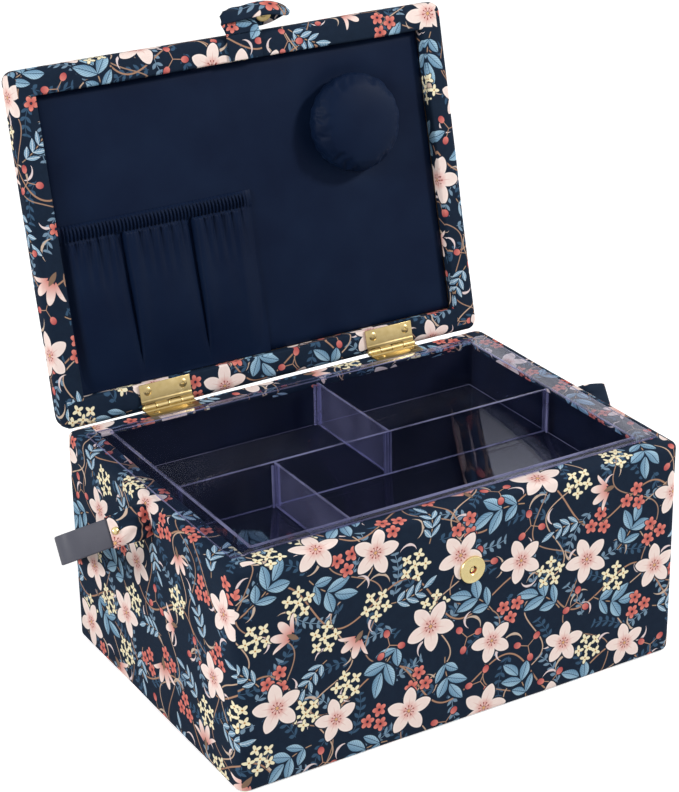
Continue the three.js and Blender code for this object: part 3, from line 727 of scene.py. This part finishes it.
def lid_cloth():
    low = Vector((-HALF_WIDTH, LID_BACK - LID_DEPTH, LID_FACE))
    high = Vector((HALF_WIDTH, LID_BACK, LID_TOP))
    piece = skin("lid_cloth", low, high, LID_RIM, 0.0068, False, 0.004,
                 (0.021, 0.03, 0.042, 0.056, 0.072, 0.0885))
    rounding, rise, back_swell = 0.004, 0.0075, 0.0011
    half = (high.y - low.y) / 2 - rounding
    middle = (high.y + low.y) / 2

    def crown(p):
        if p.z < high.z - TINY:
            left = held((-0.01 - p.x) / 0.04)
            back = max(0.0, 1 - (high.y - p.y) / 0.005)
            return p + Vector((0, back_swell * left * back, 0))
        share_x = min(1, abs(p.x) / (high.x - rounding))
        share_y = min(1, abs(p.y - middle) / half)
        return Vector((p.x, p.y, p.z + rise * (1 - share_x ** 4) * (1 - share_y ** 4)))

    shape_points(piece, crown)
    soften(piece, 0.0003, 26, 7.7)
    thicken(piece, CLOTH)

    def place(at, face):
        centre = face.center
        side = high.x - abs(centre.x)
        end = high.y - middle - abs(centre.y - middle)
        if centre.z > high.z - 0.002 and face.normal.z > 0.6:
            return at.x, at.y
        out = max(0.0, high.z - at.z)
        if at.z > low.z + 0.0015 and min(side, end) > 0.01:
            out = high.z - low.z + at.z - low.z
        if centre.z < high.z - 0.004:
            past_end = high.y - middle - abs(at.y - middle)
            out += max(0.0, past_end if end <= side else high.x - abs(at.x))
        if end <= side:
            return at.x, high.y + out if centre.y > middle else low.y - out
        return high.x + out if centre.x > 0 else low.x - out, at.y

    lay_cloth(piece, place)
    finish_piece(piece, 40, PRINT, "lid", ["lid_cover"], OPEN_LID)


# The padded navy panel in the lid, its pocket and the pincushion
def crest(x, y):
    """The height of the panel's face, which is a little hollow."""
    share = (y - (LID_BACK - LID_DEPTH / 2)) / (LID_DEPTH / 2 - LID_RIM)
    hollow = (1 - min(1, abs(x) / OPENING) ** 4) * (1 - min(1, abs(share)) ** 4)
    return PANEL_FACE - PANEL_CROWN * hollow


def cloth_grid(name, x0, x1, y0, y1, columns, rows, height):
    """A fine grid of cloth that faces the box, its height given at each place."""
    piece = begin(name, bpy.ops.mesh.primitive_grid_add, x_subdivisions=columns,
                  y_subdivisions=rows, size=1)
    wide, deep = x1 - x0, y1 - y0
    shape_points(piece, lambda p: Vector((x0 + (p.x + 0.5) * wide, y0 + (p.y + 0.5) * deep, 0)))
    shape_points(piece, lambda p: Vector((p.x, p.y, height(p.x, p.y))))
    turn_over(piece)
    return piece


def lid_panel():
    half, inset = OPENING - 0.0002, LID_RIM + 0.0002
    near, far = LID_BACK - inset, LID_BACK - LID_DEPTH + inset
    cushion = Vector((0.0652, CUSHION_Y, 0))

    def height(x, y):
        edge = min(half - abs(x), near - y, y - far)
        z = crest(x, y) + 0.0016 * math.exp(-edge / 0.0013)
        z -= 0.0004 * ripple(x * 22, y * 22, 0.4)
        away = (Vector((x, y, 0)) - cushion).length
        return z + 0.0009 * hump(away - 0.026, 0.006)

    piece = cloth_grid("lid_panel_cloth", -half, half, far, near, 150, 110, height)
    thicken(piece, 0.0008)
    finish_piece(piece, 60, NAVY, "lid", ["lid_panel"], OPEN_LID)


def lid_pocket():
    left, right = -OPENING + 0.0003, -0.0017
    near = LID_BACK - LID_RIM - 0.0004
    top, band = LID_BACK - 0.1042, LID_BACK - 0.0952
    gather, fine_fold = 0.00212, 0.0061
    deep_folds = ((-0.0794, -0.0776), (-0.0391, -0.0382))
    shallow_folds = ((-0.0640, 0.005, 0.0006), (-0.0250, 0.004, 0.0005), (-0.0150, 0.003, 0.0005))
    thin, flat_from, flat_over = 0.0002, 0.0042, 0.0012

    def beat(x):
        return 0.5 + 0.5 * math.cos(x * math.tau / gather + 1.2 * ripple(x * 70, 0, 2.2))

    def height(x, y):
        across = (x - left) / (right - left)
        rise = max(0.0, (near - y) / (near - band))
        sides = eased(min(1.0, across * 14, (1 - across) * 9))
        base = crest(x, y) - 0.0003
        if rise > 1:
            share = (rise - 1) / ((near - top) / (near - band) - 1)
            round_band = math.sin(math.pi * min(1.0, 0.12 + share * 0.88)) ** 0.5
            body = (0.0009 + 0.0012 * sides) * round_band
            body += 0.0016 * beat(x) * round_band * min(1.0, sides * 2)
            return base - max(0.0001, body)
        lift = math.sin(math.pi / 2 * min(1.0, rise * 1.7)) * (1 - 0.15 * rise)
        body = 0.0046 * lift * sides
        fade = max(0.0, 1 - (1 - rise) / 0.10)
        body += 0.0011 * (beat(x) - 0.5) * fade ** 1.4 * sides
        fan = max(0.0, 1 - (1 - rise) / 0.36)
        drift = x + 0.006 * (1 - rise) * ripple(x * 24, 0, 6.1)
        soft = math.cos(drift * math.tau / fine_fold + 2.4 * ripple(x * 46, 0, 8.1))
        body += 0.0013 * soft * fan ** 1.3 * sides * (1 - 0.5 * fade)
        for upper, lower in deep_folds:
            away = x - (lower + (upper - lower) * min(1.0, rise * 1.03))
            reach = 0.15 + 0.85 * rise ** 1.2
            cut = min(1.0, rise * 5)
            if away < 0:
                body *= 1 - 0.97 * math.exp(away / (0.0066 * reach)) * cut
            else:
                body *= 1 - 0.95 * math.exp(-away / (0.0004 + 0.0005 * reach)) * cut
                body += 0.0018 * rise * hump(away - 0.0026, 0.0040)
        body -= 0.0008 * hump(x + 0.0946 - 0.0116 * (1 - rise), 0.0042) * rise
        for place, width, deep in shallow_folds:
            body += deep * hump(x - place - 0.004 * (1 - rise), width) * rise * lift
        body += 0.0004 * ripple(x * 30, y * 18, 5.2)
        if body > flat_from:
            body = flat_from + flat_over * (1 - math.exp((flat_from - body) / flat_over))
        return base - max(thin, body)

    piece = cloth_grid("pocket_cloth", left, right, top, near, 500, 96, height)
    thicken(piece, 0.0006)
    finish_piece(piece, 80, NAVY, "lid", ["lid_pocket", "pocket_band"], OPEN_LID)


def puff(piece, voxel, scale, pressure, sewn, cap):
    """Blows a piece up as cloth, held where it is sewn down. It is worked on at scale times
    its size, and no point moves further than cap."""
    shape_points(piece, lambda p: p * scale)
    modify(piece, "REMESH", mode="VOXEL", voxel_size=voxel * scale)
    start = [v.co.copy() for v in piece.data.vertices]
    held_down = piece.vertex_groups.new(name="sewn")
    held_down.add([v.index for v in piece.data.vertices if sewn(v.co / scale)], 1, "REPLACE")
    cloth = piece.modifiers.new("cloth", "CLOTH")
    cloth.settings.use_pressure = True
    cloth.settings.uniform_pressure_force = pressure
    cloth.settings.vertex_group_mass = "sewn"
    cloth.settings.effector_weights.gravity = 0
    for step in range(1, 21):
        scene.frame_set(step)
    take(piece)
    bpy.ops.object.modifier_apply(modifier="cloth")
    scene.frame_set(1)
    for vert, before in zip(piece.data.vertices, start):
        moved = vert.co - before
        if moved.length > cap * scale:
            vert.co = before + moved.normalized() * cap * scale
    shape_points(piece, lambda p: p / scale)
    modify(piece, "SUBSURF", levels=1, render_levels=1)


def pincushion():
    radius, sewn_rise, swell_rise, under = 0.0288, 0.0066, 0.0080, 0.0002
    centre = Vector((0.0658, CUSHION_Y, PANEL_FACE - PANEL_CROWN - under))
    piece = begin("pincushion_cloth", bpy.ops.mesh.primitive_uv_sphere_add, segments=96,
                  ring_count=48, radius=1)

    def swell(p):
        flat, up = math.hypot(p.x, p.y), -p.z
        if up < 0:
            rise = sewn_rise * (1 + up) - under
            wide = radius * (0.86 + 0.14 * (1 + up) ** 0.6)
            if up < -0.93:
                wide *= flat / math.sqrt(1 - 0.93 ** 2)
            reach = wide * min(1.0, flat / math.sqrt(max(1e-6, 1 - up * up)))
        else:
            rise = sewn_rise - under + swell_rise * up ** 1.1
            reach = radius * flat ** 0.9
        turn = math.atan2(p.y, p.x)
        return Vector((math.cos(turn) * reach, math.sin(turn) * reach, -rise)) + centre

    shape_points(piece, swell)
    face_out(piece)
    puff(piece, 0.0014, 10, 5, lambda p: p.z > centre.z - 0.0012, 0.002)

    def pucker(p):
        away = p - centre
        turn = math.atan2(away.y, away.x)
        low = max(0.0, 1 + away.z / 0.007)
        wave = math.cos(turn * 23 + 2.5 * ripple(turn * 2, 0, 0))
        outward = Vector((math.cos(turn), math.sin(turn), 0))
        return p + outward * (0.00035 * wave * low) + Vector((0, 0, -0.0003 * ripple(*away * 60)))

    shape_points(piece, pucker)
    finish_piece(piece, 180, NAVY, "lid", ["pincushion"], OPEN_LID)


# The closing tab: its end sewn on the lid's rim, and the flap that curls over the lid's edge.
# Each row of the flap gives its two edges and its middle, in hundredths of the tab's width.
TAB_WIDTH = 0.020
TAB_ROOT = Vector((0.005, LID_BACK - 0.18715, 0.0008))
FLAP = (
    ((-50, 0, 0), (0, 0, 0), (50, 0, 0)),
    ((-53, 11, 1), (-3, 18, -4), (50, 10, -4)),
    ((-57, 22, 3), (-12, 40, -12), (49, 20, -14)),
    ((-60, 31, 7), (-26, 57, -22), (46, 26, -30)),
    ((-36, 34, 12), (-12, 60, -27), (48, 24, -45)),
    ((2, 36, 13), (20, 60, -31), (52, 17, -56)),
    ((42, 38, 11), (52, 64, -35), (64, 10, -62)),
    ((80, 38, 7), (85, 65.5, -37), (86, 8, -60)),
    ((112, 33, 4), (115, 62, -34), (112, 13, -50)),
    ((136, 28, 2), (140, 52, -26), (134, 22, -38)),
    ((146, 30, -2), (153, 37, -17), (146, 29, -28)),
)


def flap_place(along, s):
    """A point on the flap's middle surface, from its root to its tip and from edge to edge."""
    at = min(max(along, 0.0), 0.9999) * (len(FLAP) - 1)
    i = int(at)
    t = at - i
    rows = [FLAP[min(max(i + k, 0), len(FLAP) - 1)] for k in (-1, 0, 1, 2)]
    points = []
    for a, b, c, d in (map(Vector, column) for column in zip(*rows)):
        bend = (2 * a - 5 * b + 4 * c - d) + t * (3 * (b - c) + d - a)
        points.append(b + 0.5 * t * ((c - a) + t * bend))
    first, middle, last = points
    spot = first * (1 - s) * (1 - 2 * s) + middle * 4 * s * (1 - s) + last * s * (2 * s - 1)
    return TAB_ROOT + Vector((spot.x, -spot.y, -spot.z)) * (TAB_WIDTH / 100)


def clasp():
    low = Vector((-0.005, LID_BACK - 0.18702, 0.0003))
    high = Vector((0.015, LID_BACK - 0.1734, 0.00145))
    end = block("clasp_end_cloth", low, high)
    cut(end, 0, [low.x + 0.02 * i / 8 for i in range(1, 8)])
    cut(end, 1, [low.y + 0.0136 * i / 6 for i in range(1, 6)])
    round_edges(end, 0.0004, 2, 60)
    soften(end, 0.0002, 160, 4.4)
    lay_cloth(end, lambda at, face: (at.x + 0.347, at.y + 0.41442))
    finish_piece(end, 50, PRINT, "lid", ["clasp_tab_end"], OPEN_LID)

    length, thick = 0.044, 0.0016
    flap = flat_band("clasp_flap_cloth", length, TAB_WIDTH, thick, 0.0011)
    cut(flap, 2, [TAB_WIDTH * (i / 18 - 0.5) for i in range(1, 18)])
    round_edges(flap, 0.0007, 3, 60)
    lay_cloth(flap, lambda at, face: (at.z + 0.352, 0.2286 - at.x))

    def curl(p):
        along, across = p.x / length, held(0.5 + p.z / TAB_WIDTH)
        ahead = flap_place(along + 0.01, across) - flap_place(along - 0.01, across)
        wide = flap_place(along, min(1, across + 0.02)) - flap_place(along, max(0, across - 0.02))
        normal = ahead.cross(wide).normalized()
        crease = 0.0005 * math.sin(across * 17 + along * 11) * hump(along - 0.33, 0.14)
        swell = max(0.0, math.sin(math.pi * min(1, along * 1.05)))
        swell = 1 + 1.3 * math.sin(math.pi * across) * swell
        return flap_place(along, across) + normal * (p.y * swell + crease)

    shape_points(flap, curl)
    face_out(flap)
    finish_piece(flap, 60, PRINT, "clasp_flap", ["clasp_tab"], OPEN_LID)

    wide = flap_place(0.72, 0.85) - flap_place(0.72, 0.73)
    ahead = flap_place(0.76, 0.79) - flap_place(0.68, 0.79)
    facing = ahead.cross(wide).normalized()
    if facing.z > 0:
        facing.negate()
    outline = ((0, -0.1), (5.0, -0.1), (5.2, 0.1), (5.2, 0.9), (4.9, 1.25), (4.3, 1.3),
               (3.4, 1.05), (2.3, 1.05), (1.9, 1.5), (1.2, 1.6), (0, 1.6))
    disc = turned_piece("snap_flap_face", [(r * 0.86, h) for r, h in outline],
                        flap_place(0.72, 0.79) + facing * (thick * 0.8), facing)
    # The flap's snap half takes the darker hinge brass rather than the gold of the front half:
    # painted shade, for the shadow under the curled flap.
    finish_piece(disc, 32, BRASS, "clasp_flap", ["snap_tab_half"], OPEN_LID)


# The clear tray: a drawn tub with rounded corners and a flange that lies on the rim
TRAY_LOW, TRAY_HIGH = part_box("tray")
TUB = Vector((-0.1122, -0.0777)), Vector((0.1122, 0.0747))
TUB_WALL, TUB_LIP, FLANGE = 0.0014, 0.0006, 0.0013
TUB_FLOOR = TRAY_LOW.z + TUB_WALL
DIVIDER_Y, DIVIDER, EDGE_BAND = -0.0015, 0.0015, 0.0005


def painted_highlight_faces(piece, test):
    """Gives the faces that pass the test the milky edge finish, a painted highlight for the light
    that clear edges catch.
    """
    piece.data.materials.append(EDGE[0])
    for face in piece.data.polygons:
        if test(face.center, face.normal):
            face.material_index = 1


def tray():
    low, high = Vector((*TUB[0], TRAY_LOW.z)), Vector((*TUB[1], TRAY_HIGH.z - FLANGE))
    piece = block("clear_tray", low, high)
    edit(piece)
    pick(lambda p, n: n.z > 0.5)
    extrude(0, 0, FLANGE)
    extrude(0, 0, TUB_LIP)
    done()
    edit(piece)
    pick(lambda p, n: n.z > 0.5)
    bpy.ops.mesh.inset(thickness=TUB_WALL, depth=0)
    extrude(0, 0, TUB_FLOOR - TRAY_HIGH.z - TUB_LIP)
    at_flange = lambda p: high.z < p.z < TRAY_HIGH.z
    for axis in (0, 1):
        for way, inner, outer in ((-1, low, TRAY_LOW), (1, high, TRAY_HIGH)):
            pick(lambda p, n: n[axis] * way > 0.5 and at_flange(p) and abs(p[axis]) > 0.073)
            move = [0, 0, 0]
            move[axis] = outer[axis] - inner[axis]
            extrude(*move)
    at_corner = lambda p: abs(p.y) > 0.06 and abs(abs(p.x) - 0.1238) < 0.0005
    pick(lambda p, d: abs(d.z) > 0.9 and p.z > high.z and at_corner(p), "EDGE")
    round_picked(0.005, 5)
    weld()
    done()
    round_edges(piece, 0.00028, 2, 40)
    finish_piece(piece, 40, CLEAR, "tray", ["tray"])
    # The lip, the flange's upright sides and the rounding at the tub's floor get the painted edge
    # highlight.
    top, near = TRAY_HIGH.z - 0.0007, 0.0009
    at_lip = lambda p: abs(abs(p.x) - 0.1115) < near and abs(p.y) < 0.078 \
        or min(abs(p.y + 0.077), abs(p.y - 0.074)) < near and abs(p.x) < 0.1125
    painted_highlight_faces(piece, lambda p, n: p.z > top and (at_lip(p) or abs(n.z) < 0.9)
               or abs(p.z - TUB_FLOOR) < EDGE_BAND and 0.2 < abs(n.z) < 0.6)


def ribs():
    """The upright ribs that hold the dividers' ends, on the tray's walls and on the long
    divider."""
    half = 0.0006
    aside = 0.00105 + half
    spots = {"tray": [(x, DIVIDER_Y + side * aside) for x in (half - 0.1108, 0.1108 - half)
                      for side in (-1, 1)], "long_divider": []}
    for node, wall, way in (("tray_back_divider", 0.0733 - half, 1),
                            ("tray_front_divider", half - 0.0763, -1)):
        low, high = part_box(node)
        for side in (-1, 1):
            x = (low.x + high.x) / 2 + side * aside
            spots["tray"].append((x, wall))
            spots["long_divider"].append((x, DIVIDER_Y + way * (DIVIDER / 2 + half)))
    for body, places in spots.items():
        pieces = []
        for x, y in places:
            rib = block("rib", (x - half, y - half, TUB_FLOOR),
                        (x + half, y + half, TRAY_HIGH.z - 0.0016))
            round_edges(rib, 0.0003, 2)
            pieces.append(rib)
        take(pieces[0])
        for rib in pieces:
            rib.select_set(True)
        bpy.ops.object.join()
        piece = bpy.context.object
        piece.name = piece.data.name = body + "_ribs"
        # The ribs take the edge finish all over: painted highlight.
        finish_piece(piece, 40, EDGE, body)


def dividers():
    for body, finish in (("long_divider", CLEAR), ("back_divider", PANE), ("front_divider", PANE)):
        node = "tray_" + body
        low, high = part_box(node)
        if body == "long_divider":
            low.y, high.y = DIVIDER_Y - DIVIDER / 2, DIVIDER_Y + DIVIDER / 2
        piece = block("clear_" + node, low, high)
        round_edges(piece, 0.0004, 3)
        finish_piece(piece, 40, finish, body, [node])
        way = 0 if high.x - low.x > high.y - low.y else 1
        # A band along each divider's rims and ends gets the painted edge highlight.
        painted_highlight_faces(piece, lambda p, n: min(p.z - low.z, high.z - p.z, p[way] - low[way],
                                           high[way] - p[way]) < EDGE_BAND)


# The strap handle: flat bands bent along one path that slopes down behind the box
HANDLE_AT = Vector((0, -0.005, 0.1112))
DROOP, SAG, STRAP_WIDE = math.radians(31), 0.075, 0.0144
BACKWARD = Vector((0, math.cos(DROOP), -math.sin(DROOP)))
WIDTHWAYS = Vector((0, math.sin(DROOP), math.cos(DROOP)))
SLEEVE_PRINT = 0.1000, 0.3675


def handle_points():
    """The handle's path as seen square to its own plane, in fine steps."""
    left, right, wall, turn, flare, bend, corner = (
        -0.1764, 0.151, 0.1303, 0.1315, 0.0015, 0.009, 0.0104)
    run = HALF_DEPTH + 0.005 + 0.0008 + STRAP_WIDE / 2 * math.sin(DROOP)
    run = run / math.cos(DROOP) + 0.0009
    stops = [(-wall, 0), (left + bend, 0), (left + flare, bend), (-turn - flare, run - corner),
             (-turn + corner, run), (turn - corner, run), (turn + flare, run - corner),
             (right - flare, bend), (right - bend, 0), (wall, 0)]
    pulls = [None, (left, 0), None, (-turn, run), None, (turn, run), None, (right, 0), None]
    points = []
    for start, pull, end in zip(stops, pulls, stops[1:]):
        a, b = Vector(start), Vector(end)
        count = 16 if pull else max(2, round((b - a).length / 0.004))
        for i in range(count):
            t, to = i / count, Vector(pull or end)
            points.append(a.lerp(to, t).lerp(to.lerp(b, t), t) if pull else a.lerp(b, t))
    return points + [Vector(stops[-1])]


PATH = handle_points()
LENGTHS = [0.0]
for here, after in zip(PATH, PATH[1:]):
    LENGTHS.append(LENGTHS[-1] + (after - here).length)


def on_handle(p, start):
    """Takes a point of a flat band, drawn along x from 0, onto the handle's path."""
    along = min(max(p.x + start, 0.0), LENGTHS[-1])
    i = max(1, next(k for k, at in enumerate(LENGTHS) if at >= along - 1e-9))
    a, b = PATH[i - 1], PATH[i]
    t = (along - LENGTHS[i - 1]) / max(1e-9, LENGTHS[i] - LENGTHS[i - 1])
    before, after = PATH[max(0, i - 2)], PATH[min(len(PATH) - 1, i + 1)]
    ahead = (b - before).normalized().lerp((after - a).normalized(), t).normalized()
    at = a.lerp(b, t) + Vector((ahead.y, -ahead.x)) * p.y
    sag = SAG * max(0.0, abs(at.x) - HALF_WIDTH)
    return HANDLE_AT + Vector((at.x, 0, 0)) + BACKWARD * at.y + WIDTHWAYS * (p.z - sag)


def flat_band(name, length, wide, thick, step):
    piece = block(name, (0, -thick / 2, -wide / 2), (length, thick / 2, wide / 2))
    count = round(length / step)
    cut(piece, 0, [length * i / count for i in range(1, count)])
    return piece


def handle():
    full = LENGTHS[-1]
    strap = flat_band("strap_band", full - 0.011, STRAP_WIDE, 0.0018, 0.0022)
    round_edges(strap, 0.0008, 4, 60)
    shape_points(strap, lambda p: on_handle(p, 0.0055))
    turn_over(strap)
    finish_piece(strap, 50, STRAP, "handle", ["handle_strap"])

    for side, length, start, seed in (("left", 0.021, 0.0, 1.7),
                                      ("right", 0.033, full - 0.033, 6.3)):
        root_first = side == "left"
        sleeve = flat_band(side + "_sleeve_cloth", length, 0.0160, 0.0036, 0.0016)
        edit(sleeve)
        mouth = length if root_first else 0
        pick(lambda p, n: abs(p.x - mouth) < TINY and abs(n.x) > 0.9)
        bpy.ops.mesh.inset(thickness=0.0006, depth=0)
        extrude(-0.003 if root_first else 0.003, 0, 0)
        cut_across(2, [MM * i for i in range(-7, 8)])
        done()
        round_edges(sleeve, 0.0006, 2, 60)
        modify(sleeve, "SUBSURF", levels=1, render_levels=1)
        along = SLEEVE_PRINT[0] if root_first else 0.72
        lay_cloth(sleeve, lambda at, face: (
            at.x + along, at.z + SLEEVE_PRINT[1] + (0.04 if face.center.y > 0 else 0.0)))

        def pucker(p):
            away = p.x if root_first else length - p.x
            root = eased(held(1 - (away - 0.003) / 0.014))
            pinch = hump(away, 0.0035)
            wave = ripple(p.x * 190, p.z * 110, seed)
            across = min(1.0, abs(p.z) / 0.0084)
            swell = 1 + (1.5 * root - 0.9 * pinch) * math.sqrt(1 - across * across)
            fold = math.cos(p.z * 1150 / (0.6 + 0.5 * away / 0.01) + 1.9 * wave + seed)
            crease = 0.0009 * root * (1 - 0.3 * pinch) * fold * (abs(p.y) > 0.0009)
            wide = 1 + 0.12 * root - 0.12 * pinch + 0.02 * wave
            return Vector((p.x, p.y * swell + (crease if p.y > 0 else -crease), p.z * wide))

        shape_points(sleeve, lambda p: on_handle(pucker(p), start))
        turn_over(sleeve)
        finish_piece(sleeve, 60, PRINT, "handle", [side + "_handle_sleeve"])


# Metal parts, turned. Each half outline gives radius and height, in millimetres.
def turned_piece(name, outline, centre, axis, steps=48, unit=MM):
    """Spins a half outline round an axis."""
    piece = begin(name, bpy.ops.mesh.primitive_plane_add, size=1)
    edit(piece)
    every_face()
    bpy.ops.mesh.delete(type="VERT")
    mesh = bmesh.from_edit_mesh(piece.data)
    verts = [mesh.verts.new((r * unit, 0, h * unit)) for r, h in outline]
    for a, b in zip(verts, verts[1:]):
        mesh.edges.new((a, b))
    bmesh.update_edit_mesh(piece.data)
    every_face()
    bpy.ops.mesh.spin(steps=steps, angle=math.tau, center=(0, 0, 0), axis=(0, 0, 1))
    weld(2e-6)
    bpy.ops.mesh.normals_make_consistent(inside=False)
    done()
    turn = Vector(axis).to_track_quat("Z", "Y").to_matrix().to_4x4()
    piece.matrix_world = Matrix.Translation(centre) @ turn
    settle(piece)
    return piece


def snap():
    low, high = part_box("snap_front_half")
    centre = ((low.x + high.x) / 2, -HALF_DEPTH + 0.0002, (low.z + high.z) / 2)
    outline = ((0, 0.75), (0.7, 0.7), (1.1, 0.4), (1.3, -0.3), (1.9, -0.3), (2.1, 1.15),
               (2.5, 1.5), (3.1, 1.42), (4.6, 1.15), (5.9, 1.05), (6.3, 1.22), (6.75, 1.28),
               (7.1, 1.1), (7.3, 0.75), (7.3, 0.0), (7.2, -0.4), (0, -0.6))
    face = turned_piece("snap_face", outline, centre, (0, -1, 0))
    finish_piece(face, 32, GOLD, "base", ["snap_front_half"])


def rivets():
    dome = ((0, 3.15), (0.7, 3.08), (1.3, 2.82), (1.75, 2.42), (1.98, 2.05), (1.98, 1.9),
            (1.2, 1.85), (1.2, -1.85), (2.0, -1.9), (2.0, -2.4), (1.8, -2.55), (0, -2.6))
    for side, distance in (("left", 0.0182), ("right", LENGTHS[-1] - 0.0295)):
        outer, inner = (
            sum((on_handle(Vector((MM * x, y, z)), distance - 2 * MM)
                 for x in range(5) for z in (-MM, MM)), Vector((0, 0, 0))) / 10
            for y in (-MM, MM))
        axis = (inner - outer).normalized()
        if side == "left" and axis.y > 0 or side == "right" and axis.x < 0:
            axis.negate()
        piece = turned_piece(side + "_rivet", dome, (outer + inner) / 2, axis, 32)
        finish_piece(piece, 32, GOLD, "handle", [side + "_handle_rivet"])


KNUCKLE, HINGE_LENGTH, HINGE_IN = 0.0018, 0.030, 0.060


def hinge_leaf(name, reach):
    """A leaf seen from its outer side: the pin lies along x, the plate runs along -y, its
    outer side up. The lid's leaf is turned over, so that its rolls fill the other's gaps."""
    half, pitch, play, ease = HINGE_LENGTH / 2, HINGE_LENGTH / 4, 0.00012, 0.0003
    leaf = block(name, (-half, -reach, -0.0013), (half, -0.0021, -0.0005))
    cut(leaf, 1, [-0.0040, -0.0034])
    shape_points(leaf, lambda p: p + Vector((0, 0, 0.0004 if p.y > -0.0035 else 0)))
    round_edges(leaf, 0.00025, 2, 50)
    for i in (0, 2):
        x0, x1 = -half + i * pitch + play, -half + (i + 1) * pitch - play
        outline = ((0, x0), (KNUCKLE - ease, x0), (KNUCKLE, x0 + ease), (KNUCKLE, x1 - ease),
                   (KNUCKLE - ease, x1), (0, x1))
        roll = turned_piece("roll", outline, (0, 0, 0), (1, 0, 0), 32, 1)
        bridge = block("bridge", (x0, -0.0024, -0.0009), (x1, -0.0008, -0.0001))
        carve(leaf, roll, "UNION")
        carve(leaf, bridge, "UNION")
    return leaf


def screw_head():
    """One domed head with a cross cut in it, its top along z."""
    outline = ((0, -0.3), (2.3, -0.3), (2.4, -0.1), (2.35, 0.12), (1.9, 0.36), (1.0, 0.5),
               (0, 0.54))
    head = turned_piece("screw_head", outline, (0, 0, 0), (0, 0, 1), 32)
    for long, wide in ((0.0013, 0.00028), (0.00028, 0.0013)):
        slot = block("slot", (-long, -wide, 0.00008), (long, wide, 0.001))
        carve(head, slot, "DIFFERENCE")
    return head


def hinges():
    base, lid = hinge_leaf("base_leaf", 0.0102), hinge_leaf("lid_leaf", 0.0127)
    head = screw_head()
    over = Matrix.Translation(PIN)
    under = OPEN_LID @ Matrix.Rotation(math.pi, 4, "Y")
    pin_end = [(0, -15.2), (0.9, -15.2), (1.1, -15.0), (0.9, -14.9), (0.7, -14.8)]
    for side, x in (("left", HINGE_IN - HALF_WIDTH), ("right", HALF_WIDTH - HINGE_IN)):
        for model, body, place, back, way_x in ((base, "base", over, 0.0064, 1),
                                                (lid, "lid", under, 0.0087, -1)):
            leaf = copied(model, "gold_%s_%s_leaf" % (side, body))
            finish_piece(leaf, 30, BRASS, body, ["%s_hinge_%s_leaf" % (side, body)],
                         place @ Matrix.Translation((way_x * x, 0, 0)))
            for end, way in (("outer", -1), ("inner", 1)):
                away = x - math.copysign(0.0105, x) * way
                name = "%s_screw_%s_%s" % (body, side, end)
                screw = copied(head, "gold_" + name)
                spot = Matrix.Translation((way_x * away, -back, -0.0006))
                turn = Matrix.Rotation(1.3 * way + 40 * x, 4, "Z")
                finish_piece(screw, 30, BRASS, body, [name], place @ spot @ turn)
        outline = pin_end + [(r, -h) for r, h in reversed(pin_end)]
        pin = turned_piece("gold_%s_pin" % side, outline, PIN + Vector((x, 0, 0)), (1, 0, 0), 24)
        finish_piece(pin, 32, BRASS, "base", [side + "_hinge_pin"])
    for model in (base, lid, head):
        bpy.data.objects.remove(model)


def lining():
    """The lining keeps its own shape, as one clean mesh with its edges rounded."""
    piece = copied(frame["nodes"]["box_lining"], "box_lining_cloth")
    piece.data.name = piece.name
    edit(piece)
    weld()
    bpy.ops.mesh.dissolve_limited(angle_limit=math.radians(1))
    done()
    round_edges(piece, 0.0006, 2)
    # The lining takes the darker navy: painted shade for the inside of the box.
    finish_piece(piece, 40, SHADED_NAVY, "base", ["box_lining"])


for make in (box_cloth, lid_cloth, lid_panel, lid_pocket, pincushion, tray, ribs, dividers, handle,
             snap, rivets, clasp, hinges, lining):
    make()

slots = {slot: material for material, slot in (PRINT, NAVY, CLEAR, GOLD, STRAP, BOARD)}
for entry in frame["record"]["subparts"]:
    shown = frame["nodes"][entry["node"]]
    shown.data.materials.clear()
    shown.data.materials.append(slots[entry["material_slot"]])


# The floor, the light and the white behind
def lamp(name, place, target, size, power):
    data = bpy.data.lights.new(name, "AREA")
    data.shape, data.size, data.energy = "DISK", size, power
    made = bpy.data.objects.new(name, data)
    scene.collection.objects.link(made)
    made.location = place
    made.rotation_mode = "QUATERNION"
    made.rotation_quaternion = (Vector(target) - Vector(place)).to_track_quat("-Z", "Y")


def make_stage():
    floor = begin("floor", bpy.ops.mesh.primitive_plane_add, size=8, location=(0, 0, 0))
    f = Finish("floor_finish")
    seen = f.read("LightPath", output="Is Camera Ray")
    plain = f.read("BsdfDiffuse", {"Color": (0.8, 0.8, 0.8, 1)})
    glow = f.read("Emission", {"Color": (1, 1, 1, 1), "Strength": seen * 0.62})
    floor.data.materials.append(f.output(f.read("AddShader", {0: plain, 1: glow})))

    # Soft light all round, and white to the camera, in reflections and through plastic
    scene.world = bpy.data.worlds.new("soft_light")
    f = Finish("soft_light", scene.world)
    rays = f.node("LightPath").outputs
    camera, through, shiny = (Number(f, rays["Is %s Ray" % kind])
                              for kind in ("Camera", "Transmission", "Glossy"))
    bright = f.maths("MULTIPLY_ADD", camera.top(through).top(shiny), 0.63, 0.37)
    sky = f.read("Background", {0: (1, 1, 1, 1), 1: bright})
    f.node("OutputWorld", {0: sky})

    lamp("key", (1.8, -1.1, 1.6), (0, 0, 0.15), 0.4, 44)
    lamp("fill", (-2.0, -0.4, 1.1), (0, 0, 0.1), 0.8, 30)
    scene.view_settings.view_transform = "Standard"


make_stage()
